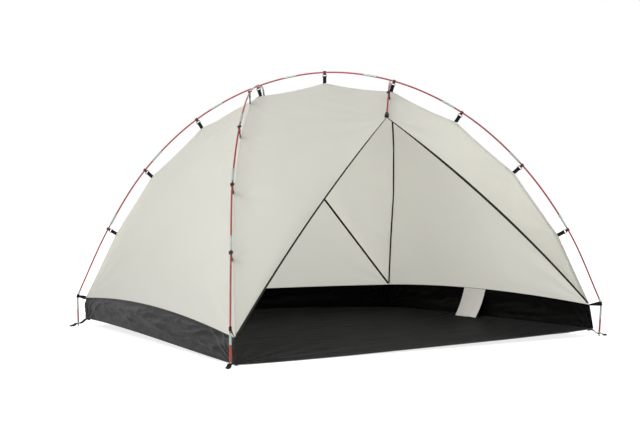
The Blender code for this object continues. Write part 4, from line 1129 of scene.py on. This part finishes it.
def groundsheet():
    """The floor: it lies on the ground, rises to its corners and is pulled at the front left."""
    shares = np.linspace(0, 1, FLOOR_COUNT)
    across, deep = np.meshgrid(shares, shares)
    grid = np.stack([(across - 0.5) * FRONT_EDGE, (deep - 0.5) * SIDE_EDGE, np.zeros_like(across)], axis=2)
    lift = np.array([[floor_height(Vector(point)) for point in row] for row in grid])
    waves = FLOOR_RIPPLE * np.abs(rumple(grid, (3.0, 11.0, 1.0), 31, 4)) * rim_fade(grid, 0.05)
    away = grid - np.array(FRONT_LEFT)
    reach, rays, size = FLOOR_FOLDS
    angle = np.arctan2(away[..., 1], away[..., 0])
    folds = size * fading(np.linalg.norm(away[..., :2], axis=2), reach) * (0.5 + 0.5 * np.cos(rays * angle))
    folds *= rim_fade(grid, 0.02)
    grid[..., 2] = lift + FLOOR_CLOTH + waves + folds
    # Painted highlight on the crests of the floor's folds and ripples, at about a tenth of its full
    # strength.
    lit = crest_highlight_mask(folds + 0.3 * waves) * 0.11
    piece = sheet_mesh("floor_cloth", grid, FRONT_EDGE, SIDE_EDGE, False, [FLOOR], TUB_CLOTH, lit)
    ride(piece, "tent", "dark_cloth", "groundsheet")
    # A hem strip along the front edge, lighter than the floor: a painted highlight along that edge.
    edge = [FRONT_LEFT.lerp(FRONT_RIGHT, share) for share in np.linspace(0.004, 0.996, 90)]
    over = FLOOR_CLOTH + HEM_OVER_CLOTH
    edge = [point + Vector((0, HEM_BEHIND_EDGE, floor_height(point) + over)) for point in edge]
    sides, outs = lie_along(edge, [UP] * len(edge))
    hem = strip("floor_front_hem_highlight", edge, sides, outs, HEM_WIDTH, HEM_THICKNESS, [HEM_HIGHLIGHT])
    ride(hem, "tent", "dark_cloth")


# Seams and bindings

def lie_along(points, outs):
    """Sides of a strip along points whose faces look along outs."""
    sides, fixed = [], []
    for index, out in enumerate(outs):
        along = heading(points, index)
        out = (out - along * out.dot(along)).normalized()
        sides.append(out.cross(along))
        fixed.append(out)
    return sides, fixed


def seams():
    """Pale stitched ridges outside, and dark tape over the seams inside."""
    lines = {
        "long": (LONG_SEAM, "long_seam_tape"),
        "left": (LEFT_SEAM[:-2], "left_seam_tape"),
        "right": (RIGHT_SEAM[:-2], "right_seam_tape"),
        "front_stub": (FRONT_STUB, None),
        "back_stub": (BACK_STUB, None),
        "back_left_edge": (BACK_LEFT_EDGE, None),
        "back_right_edge": (BACK_RIGHT_EDGE, None),
    }
    for name, (line, node) in lines.items():
        points = line[1:-1:2]
        ridge = folded_tape(f"{name}_seam_ridge", points, SEAM_WIDTH / 2, -TAPE_GAP, SEAM_RIDGE, [SEAM_TAPE])
        ride(ridge, "tent", "pale_cloth", *([node] if node else []))
        inner = folded_tape(f"{name}_inner_binding", points, INNER_BINDING_WIDTH / 2, CLOTH + TAPE_GAP,
                            INNER_BINDING, [BINDING])
        ride(inner, "tent", "black_webbing")


def door_binding():
    """The dark tape folded over both edges of the doorway.

    Each is as wide as its first size at the ground and its second at the top, reaches past
    the edge by cover, and narrows later the higher the last number.
    """
    for name, edge, widest, narrowest, cover, narrowing in (
            ("left", FRONT_LEFT_EDGE, 0.017, 0.0045, 0.0035, 1),
            ("right", FRONT_RIGHT_EDGE, 0.013, 0.006, 0.0065, 8)):
        points = edge[1:-2:2] + [edge[-2].lerp(edge[-1], 0.9)]
        sides, outs, widths, centres = [], [], [], []
        for index, point in enumerate(points):
            along = heading(points, index)
            wing = seam_wings(point, along)[0]
            out = along.cross(wing).normalized()
            out = out if out.dot(point - STAR) > 0 else -out
            width = widest + (narrowest - widest) * (index / (len(points) - 1)) ** narrowing
            sides.append(wing)
            outs.append(out)
            widths.append(width)
            centres.append(point + wing * (cover - width / 2) - out * (CLOTH / 2))
        tape = strip(f"door_binding_{name}", centres, sides, outs, widths, DOOR_BINDING, [BINDING])
        ride(tape, "tent", "black_webbing")


# Webbing

def clip_matrix(path, s, seam=None):
    """Stands a clip on its pole: x sideways, y along the pole, z away from the seam."""
    along, side, out = path.frame(s)
    if seam is not None:
        start, end = seam
        share = (path.at(s) - start).dot(along) / (end - start).dot(along)
        out = (path.at(s) - start.lerp(end, share)).normalized()
        side = out.cross(along)
    return standing(-side, along, out, path.at(s) - out * HOOK_REACH)


def clip_places():
    """Each clip's name, the matrix of its rail, and the seam line that its webbing comes from."""
    places = [(f"clip_a_{index}", clip_matrix(LONG_POLE, s), LONG_SEAM)
              for index, s in enumerate(LONG_CLIPS[1:-1], 1)]
    for letter, path, seam, stub in (
            ("b", SHORT_POLE, LEFT_SEAM, (BACK_PEAK, BACK_CLOTH_APEX)),
            ("c", BACK_POLE, RIGHT_SEAM, (FRONT_PEAK, FRONT_CLOTH_APEX))):
        places += [(f"clip_{letter}_{index}", clip_matrix(path, s), seam)
                   for index, s in enumerate(SHORT_CLIPS[1:], 1)]
        last = clip_matrix(path, STUB_CLIP, stub)
        places.append((f"clip_{letter}_{len(SHORT_CLIPS)}", last, straight(*stub, 200)))
    return places


def webbing_loops():
    """The black loops from the seams up round the clips' rails, two plies sewn together."""
    loops = []
    for name, rail, seam in clip_places():
        local = rail.inverted()
        near = [local @ point for point in seam]
        index = min(range(len(near)), key=lambda i: abs(near[i].y) + 0.2 * near[i].length)
        low, beside = near[index], near[index - 1] if index else near[1]
        run = beside - low
        slope = run.z / run.y if abs(run.y) > 1e-9 else 0.0
        drop = low.z - low.y * slope - 0.001
        turns = [radians(angle) for angle in range(-140, 141, 28)]
        line = [(-PLY, drop), (-PLY, drop * 0.5), (-PLY * 1.1, -RAIL_EYE * 1.5)]
        line += [(RAIL_EYE * sin(turn), RAIL_EYE * cos(turn)) for turn in turns]
        line += [(-x, z) for x, z in line[2::-1]]
        points = [Vector((x, 0, z)) for x, z in line]
        ways = [heading(points, i) for i in range(len(points))]
        outs = [Vector((-way.z, 0, way.x)) for way in ways]
        sides = [Vector((0, 1, 0))] * len(points)
        loop = strip(name + "_loop", points, sides, outs, WEBBING_WIDTH, WEBBING, [WEBBING_BLACK])
        for vertex in loop.data.vertices:
            if vertex.co.z < drop * 0.4:
                vertex.co.z += vertex.co.y * slope
        loop.data.transform(rail)
        loops.append(loop)
    ride(joined("webbing_loops", loops), "tent", "black_webbing")


def corner_straps():
    """Tapered straps from the tub's upper corners to sleeves round the poles."""
    for name, path, s, corner, diameter, widths in (
            ("back_left", LONG_POLE, LONG_CLIPS[0], TOP_BACK_LEFT, FERRULE_DIAMETER,
             [0.012, 0.015, 0.019, 0.020, 0.018]),
            ("front_right", LONG_POLE, LONG_CLIPS[-1], TOP_FRONT_RIGHT, FERRULE_DIAMETER,
             [0.023, 0.020, 0.016, 0.012, 0.009]),
            ("front_left", SHORT_POLE, SHORT_CLIPS[0], TOP_FRONT_LEFT, POLE_DIAMETER,
             [0.019, 0.013, 0.008, 0.006, 0.006]),
            ("back_right", BACK_POLE, SHORT_CLIPS[0], TOP_BACK_RIGHT, POLE_DIAMETER,
             [0.019, 0.016, 0.012, 0.010, 0.008])):
        along, side, out = path.frame(s)
        axis = path.at(s)
        sleeve = added(bpy.ops.mesh.primitive_cylinder_add, vertices=20, radius=diameter / 2 + SLEEVE_REACH,
                       depth=CORNER_STRAP_HEIGHT, end_fill_type="NOTHING")
        sleeve.data.uv_layers[0].name = "cut"
        sleeve.data.materials.append(WEBBING_BLACK)
        apply_modifier(sleeve, "SOLIDIFY", thickness=SLEEVE_WALL, offset=-1.0)
        apply_modifier(sleeve, "BEVEL", width=SLEEVE_RIM, segments=2)
        sleeve.data.transform(standing(side, out, along, axis))
        smooth(sleeve)
        toward = corner - axis
        toward = (toward - along * toward.dot(along)).normalized()
        root = axis + toward * (diameter / 2 + STRAP_ROOT)
        points = straight(root, corner, len(widths) - 1)
        sides, outs = lie_along(points, [along.cross(toward)] * len(points))
        strap = strip("strap", points, sides, outs, widths, CORNER_STRAP, [WEBBING_BLACK])
        ride(joined(f"corner_strap_{name}", [sleeve, strap]), "tent", "black_webbing")


def floor_straps():
    """The webbing sewn under the floor's corners, with an eyelet on each pole tip and a free tail.

    Each tail curls to one side, and the straps are as thick as they show in the photo.
    """
    for name, corner, path, curl, thick in (
            ("back_left", BACK_LEFT, LONG_POLE, 0.6, 0.0032),
            ("front_right", FRONT_RIGHT, LONG_POLE.half_turned(), -0.9, 0.0032),
            ("front_left", FRONT_LEFT, SHORT_POLE, 0.3, 0.0052),
            ("back_right", BACK_RIGHT, BACK_POLE, -0.4, 0.0040)):
        foot = path.at(0.0)
        flat = Vector((foot.x, foot.y, 0))
        out = (flat - corner).normalized()
        beside = Vector((-out.y, out.x, 0))
        knots = []
        for back in STRAP_SEWN:
            sewn = corner - corner.normalized() * back
            under = hem_height(sewn)
            knots.append(sewn + UP * (under - 0.0006 if under > 0.002 else 0.0008))
        for reach, height, swerve in STRAP_KNOTS:
            knots.append(flat + out * reach + UP * height + beside * (swerve * curl))
        points = smooth_curve(knots, STRAP_STEPS)
        facing = beside if beside.y < 0 else -beside
        rolls = [min(abs(1 - index / (3 * STRAP_STEPS)), 1) for index in range(len(points))]
        sides, outs = lie_along(points, [UP + facing * (0.75 * roll) for roll in rolls])
        strap = strip(f"floor_strap_{name}", points, sides, outs, FLOOR_STRAP_WIDTH, thick, [WEBBING_BLACK])
        for vertex in strap.data.vertices:
            vertex.co.z = max(vertex.co.z, 0.0002)
        eyelet = added(bpy.ops.mesh.primitive_torus_add, major_segments=28, minor_segments=8,
                       major_radius=EYELET_RADIUS, minor_radius=EYELET_WIRE)
        eyelet.data.materials.append(STEEL)
        eyelet.data.transform(Matrix.Scale(EYELET_FLATNESS, 4, UP))
        lean = path.frame(0.004)[0].z
        eyelet.data.transform(Matrix.Translation(path.at(EYELET_SEAT / lean) + UP * 0.001))
        eyelet.name = f"eyelet_{name}"
        smooth(eyelet)
        ride(strap, "tent", "black_webbing")
        ride(eyelet, "tent", "red_anodised")


# Poles

def turned_rod(name, profile, paints, silver, sides=ROUND_SIDES):
    """A round rod on the z axis, drawn out ring by ring along its profile of heights and radii.

    The second paint covers the stretches in silver: a tip whole, a ferrule only on its outside.
    """
    def draw_out():
        for (s0, r0), (s1, r1) in zip(profile, profile[1:]):
            steps = max(1, round(abs(s1 - s0) / RING_STEP))
            for step in range(1, steps + 1):
                bpy.ops.mesh.extrude_region_move(TRANSFORM_OT_translate={"value": (0, 0, (s1 - s0) / steps)})
                here = r0 + (r1 - r0) * step / steps
                before = r0 + (r1 - r0) * (step - 1) / steps
                if abs(here - before) > 1e-7:
                    level = s0 + (s1 - s0) * step / steps
                    wider = (here / before, here / before, 1)
                    bpy.ops.transform.resize(value=wider, center_override=(0, 0, level))

    height, radius = profile[0]
    rod = added(bpy.ops.mesh.primitive_circle_add, vertices=sides, radius=radius, fill_type="NGON",
                location=(0, 0, height))
    bpy.ops.object.transform_apply()
    edit(rod, draw_out)
    rod.name = rod.data.name = name
    for paint in paints:
        rod.data.materials.append(paint)
    for face in rod.data.polygons:
        reach = max(rod.data.vertices[v].co.xy.length for v in face.vertices)
        for low, high in silver:
            outside = face.center.z >= low - 1e-5 and reach > POLE_DIAMETER / 2 + 1e-4
            if face.center.z <= high + 1e-5 and (outside or high < TIP_LENGTH + 1e-4):
                face.material_index = 1
    return rod


def bent_onto(rod, path):
    """Bends a straight rod onto a pole's line."""
    frames = {}
    for vertex in rod.data.vertices:
        s = vertex.co.z
        key = round(s, 6)
        if key not in frames:
            frames[key] = (path.at(s), *path.frame(s)[1:])
        centre, side, out = frames[key]
        vertex.co = centre + side * vertex.co.x + out * vertex.co.y
        vertex.co.z = max(vertex.co.z, 0.0)
    smooth(rod, 40)
    return rod


def eased(start, end, radius, rim):
    """The outline of a cylinder whose rims are eased."""
    return [(start, radius - rim), (start + rim, radius), (end - rim, radius), (end, radius - rim)]


def ferrule(joint):
    """The outline of a ferrule at a joint, from its near end to its bore."""
    start, mouth = joint - FERRULE_LENGTH / 2, joint + FERRULE_LENGTH / 2
    outline = [(start, POLE_DIAMETER / 2)] + eased(start, mouth, FERRULE_DIAMETER / 2, RIM)
    return outline + [(mouth, BORE), (joint, BORE)], [(start, mouth)]


def foot(name, ferrule_top, joint, diameter, red):
    """A foot section: its tip, its thick end tube and its ferrule."""
    tip = TIP_DIAMETER / 2
    outline = [(0.0, tip - FOOT_RIM), (FOOT_RIM, tip), (TIP_LENGTH, tip)]
    outline += eased(TIP_LENGTH, END_TUBE_TOP, diameter / 2, FOOT_RIM)
    outline += eased(END_TUBE_TOP, ferrule_top, FERRULE_DIAMETER / 2, FOOT_RIM)
    outline += [(ferrule_top, BORE), (joint, BORE)]
    return turned_rod(name, outline, [red, SILVER], [(0.0, TIP_LENGTH), (END_TUBE_TOP, ferrule_top)])


def joints_between(places, shares):
    """The lengths at which a pole is joined, one between each two places."""
    return [low + (high - low) * share for low, high, share in zip(places, places[1:], shares)]


def long_pole():
    """The long pole: a foot at each end, and nine rods with a ferrule on all but the last."""
    for corner, path in (("back_left", LONG_POLE), ("front_right", LONG_POLE.half_turned())):
        made = foot(f"long_pole_foot_{corner}", LONG_FOOT_FERRULE_TOP, LONG_FOOT_JOINT,
                    LONG_END_TUBE_DIAMETER, RED)
        ride(bent_onto(made, path), "tent", "red_anodised", f"pole_a_foot_{corner}")
    joints = [LONG_FOOT_JOINT, *joints_between(LONG_CLIPS[1:-1], LONG_JOINT_SHARES)]
    last = LONG_POLE.length - LONG_FOOT_JOINT
    for index, (start, end) in enumerate(zip(joints, [*joints[1:], last]), 1):
        outline, silver = ([(end - GAP, POLE_DIAMETER / 2)], []) if end == last else ferrule(end)
        outline = [(start + GAP, POLE_DIAMETER / 2)] + outline
        rod = bent_onto(turned_rod(f"long_pole_rod_{index}", outline, [RED, SILVER], silver), LONG_POLE)
        ride(rod, "tent", "red_anodised", f"pole_a_rod_{index}")


def short_poles():
    """The front left pole from foot to stub, and its copy after half a turn at the back."""
    radius = POLE_DIAMETER / 2
    rods = [("foot", foot("foot", SHORT_FOOT_FERRULE_TOP, SHORT_FOOT_JOINT, END_TUBE_DIAMETER, WARM_RED))]
    joints = [SHORT_FOOT_JOINT, *joints_between([*SHORT_CLIPS[1:], BEND_END], SHORT_JOINT_SHARES)]
    for index, (start, end) in enumerate(zip(joints, joints[1:]), 1):
        outline, silver = ferrule(end)
        red = WARM_RED if index < 3 else RED
        rod = turned_rod("rod", [(start + GAP, radius)] + outline, [red, SILVER], silver)
        rods.append((f"rod_{index}", rod))
    spigot = joints[-1] + FERRULE_LENGTH / 2 + GAP
    outline = [(joints[-1] + GAP, radius), (spigot, radius)]
    outline += eased(spigot, BEND_END, ELBOW_DIAMETER / 2, ELBOW_RIM)
    outline += [(BEND_END, radius), (SHORT_POLE.length, radius)]
    elbow = turned_rod("elbow", outline, [RED, SILVER], [(ELBOW_SILVER_FROM, BEND_END)])
    for part, rod in [*rods, ("elbow_and_stub", elbow)]:
        bent_onto(rod, SHORT_POLE)
        rod.name = rod.data.name = f"front_pole_{part}"
        ride(rod, "tent", "red_anodised", f"pole_b_{part}")
        back = link(f"back_pole_{part}", rod.data.copy())
        back.data.transform(HALF_TURN)
        ride(back, "tent", "red_anodised", f"pole_c_{part}")


# Clips and sockets

def clips():
    """One clip's solid with its flat faces made whole and its edges rounded, set down nineteen times."""
    places = {name: rail for name, rail, _ in clip_places()}
    pattern = link("clip_pattern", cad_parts["clip_a_5"].data.copy())
    pattern.data.materials.clear()
    edit(pattern, partial(bpy.ops.mesh.remove_doubles, threshold=0.00002),
         partial(bpy.ops.mesh.dissolve_limited, angle_limit=radians(1)))
    apply_modifier(pattern, "BEVEL", width=RIM, segments=2, limit_method="ANGLE", angle_limit=radians(28))
    pattern.data.materials.append(BLACK)
    smooth(pattern, 40)
    pattern.data.transform(places["clip_a_5"].inverted())
    for name, rail in places.items():
        clip = link(f"{name}_hook", pattern.data.copy())
        clip.data.transform(rail)
        ride(clip, name, "black_plastic", name)
    bpy.data.objects.remove(pattern)


def sockets():
    """The black cups at the two cloth apexes that take the stub ends, each on a patch of webbing."""
    radius = SOCKET_DIAMETER / 2
    outline = eased(0.0, SOCKET_LENGTH, radius, SOCKET_RIM)
    outline += [(SOCKET_LENGTH, BORE), (SOCKET_FLOOR - GAP, BORE)]
    for name, path in (("back", SHORT_POLE), ("front", BACK_POLE)):
        along, side, out = path.frame(path.length)
        low = path.at(path.length) + along * SOCKET_FLOOR
        cup = turned_rod("cup", outline, [BLACK], [], 24)
        cup.data.transform(standing(side, out, -along, low))
        edit(cup)
        smooth(cup, 40)
        bottom = low - out * (radius + SOCKET_OVER_PATCH)
        points = straight(bottom, bottom - along * SOCKET_LENGTH, 6)
        patch = strip("patch", points, [side] * 7, [out] * 7, *SOCKET_PATCH, [WEBBING_BLACK])
        ride(joined(f"{name}_socket_cup", [cup, patch]), "tent", "black_webbing", f"{name}_apex_socket")


# The label flap

def label_flap():
    """A blank flap that hangs inside the right wall from its upper seam, bellied and a little curled."""
    hinge = Matrix.Translation(LABEL_SEAM) @ Matrix.Rotation(LABEL_LEAN, 4, "Y")
    shares = [index / (LABEL_COUNT - 1) for index in range(LABEL_COUNT)]
    rows = []
    for share in shares:
        line = []
        for across in shares:
            across -= 0.5
            curl = LABEL_CURL * share * share * sin(across * 5.2)
            off = LABEL_BELLY * arched(share) + curl + LABEL_WAVE * share * cos(across * 14)
            line.append(tuple(hinge @ Vector((off, across * LABEL_WIDTH, -LABEL_LENGTH * share))))
        rows.append(line)
    piece = sheet_mesh("label_flap_cloth", np.array(rows), LABEL_WIDTH, LABEL_LENGTH, False, [LABEL],
                       LABEL_CLOTH)
    ride(piece, "label_flap", "label_cloth", "label_flap")


# The studio

def studio():
    """A white floor that keeps the tent's shadow, a white sky and three soft lamps.

    Both are brighter for the camera than for the light that they throw on the tent.
    """
    scene = bpy.context.scene
    finish = Finish("studio_floor", 0.95, Specular_IOR_Level=0.0, Emission_Strength=1.0)
    finish.set("Base Color", (*grey(FLOOR_TONE), 1.0))
    away = finish.node("ShaderNodeVectorMath", {"operation": "LENGTH"}, [finish.place()], output=1)
    start, end = FLOOR_FADE
    far = finish.node("ShaderNodeMapRange", {}, {"Value": away, "From Min": start, "From Max": end})
    near = finish.blend(finish.node("ShaderNodeLightPath"), *(grey(value) for value in FLOOR_LIGHT))
    finish.set("Emission Color", finish.blend(far, near, grey(1.0)))
    ground = added(bpy.ops.mesh.primitive_plane_add, size=60, location=(0, 0, -0.0005))
    ground.name = "studio_floor"
    ground.data.materials.append(finish.material)
    scene.world = bpy.data.worlds.new("studio_light")
    scene.world.use_nodes = True
    sky = Nodes(scene.world.node_tree)
    background = sky.tree.nodes["Background"]
    camera_ray = sky.node("ShaderNodeLightPath")
    glossy_ray = Wire(sky, camera_ray.socket.node.outputs["Is Glossy Ray"])
    seen = sky.node("ShaderNodeMath", {"operation": "MAXIMUM"}, [camera_ray, glossy_ray])
    dim, bright = SKY_LIGHT
    strength = sky.node("ShaderNodeMapRange", {}, {"Value": seen, "To Min": dim, "To Max": bright})
    sky.put(background.inputs["Color"], (*grey(1.0), 1.0))
    sky.put(background.inputs["Strength"], strength)
    for name, place, size, power in LAMPS:
        light = bpy.data.lights.new(name, "AREA")
        light.size = size
        light.energy = power
        lamp = link(name, light)
        lamp.location = place
        lamp.rotation_euler = (LAMPS_AIM - place).to_track_quat("-Z", "Y").to_euler()


def camera():
    """The photograph's camera."""
    level = Vector((sin(CAMERA_YAW), cos(CAMERA_YAW), 0))
    forward = level * cos(CAMERA_PITCH) + UP * sin(CAMERA_PITCH)
    right = Vector((cos(CAMERA_YAW), -sin(CAMERA_YAW), 0))
    up = right.cross(forward)
    rolled = right * cos(CAMERA_ROLL) + up * sin(CAMERA_ROLL)
    upright = up * cos(CAMERA_ROLL) - right * sin(CAMERA_ROLL)
    lens = bpy.data.cameras.new("camera")
    lens.lens = CAMERA_LENS
    lens.sensor_width = SENSOR_WIDTH
    lens.sensor_fit = "HORIZONTAL"
    made = link("camera", lens)
    made.matrix_world = standing(rolled, upright, -forward, CAMERA_PLACE)
    bpy.context.scene.camera = made


camera()
studio()
bpy.context.scene.view_settings.view_transform = "Standard"
canopy()
tub()
groundsheet()
seams()
door_binding()
webbing_loops()
corner_straps()
floor_straps()
long_pole()
short_poles()
clips()
sockets()
label_flap()
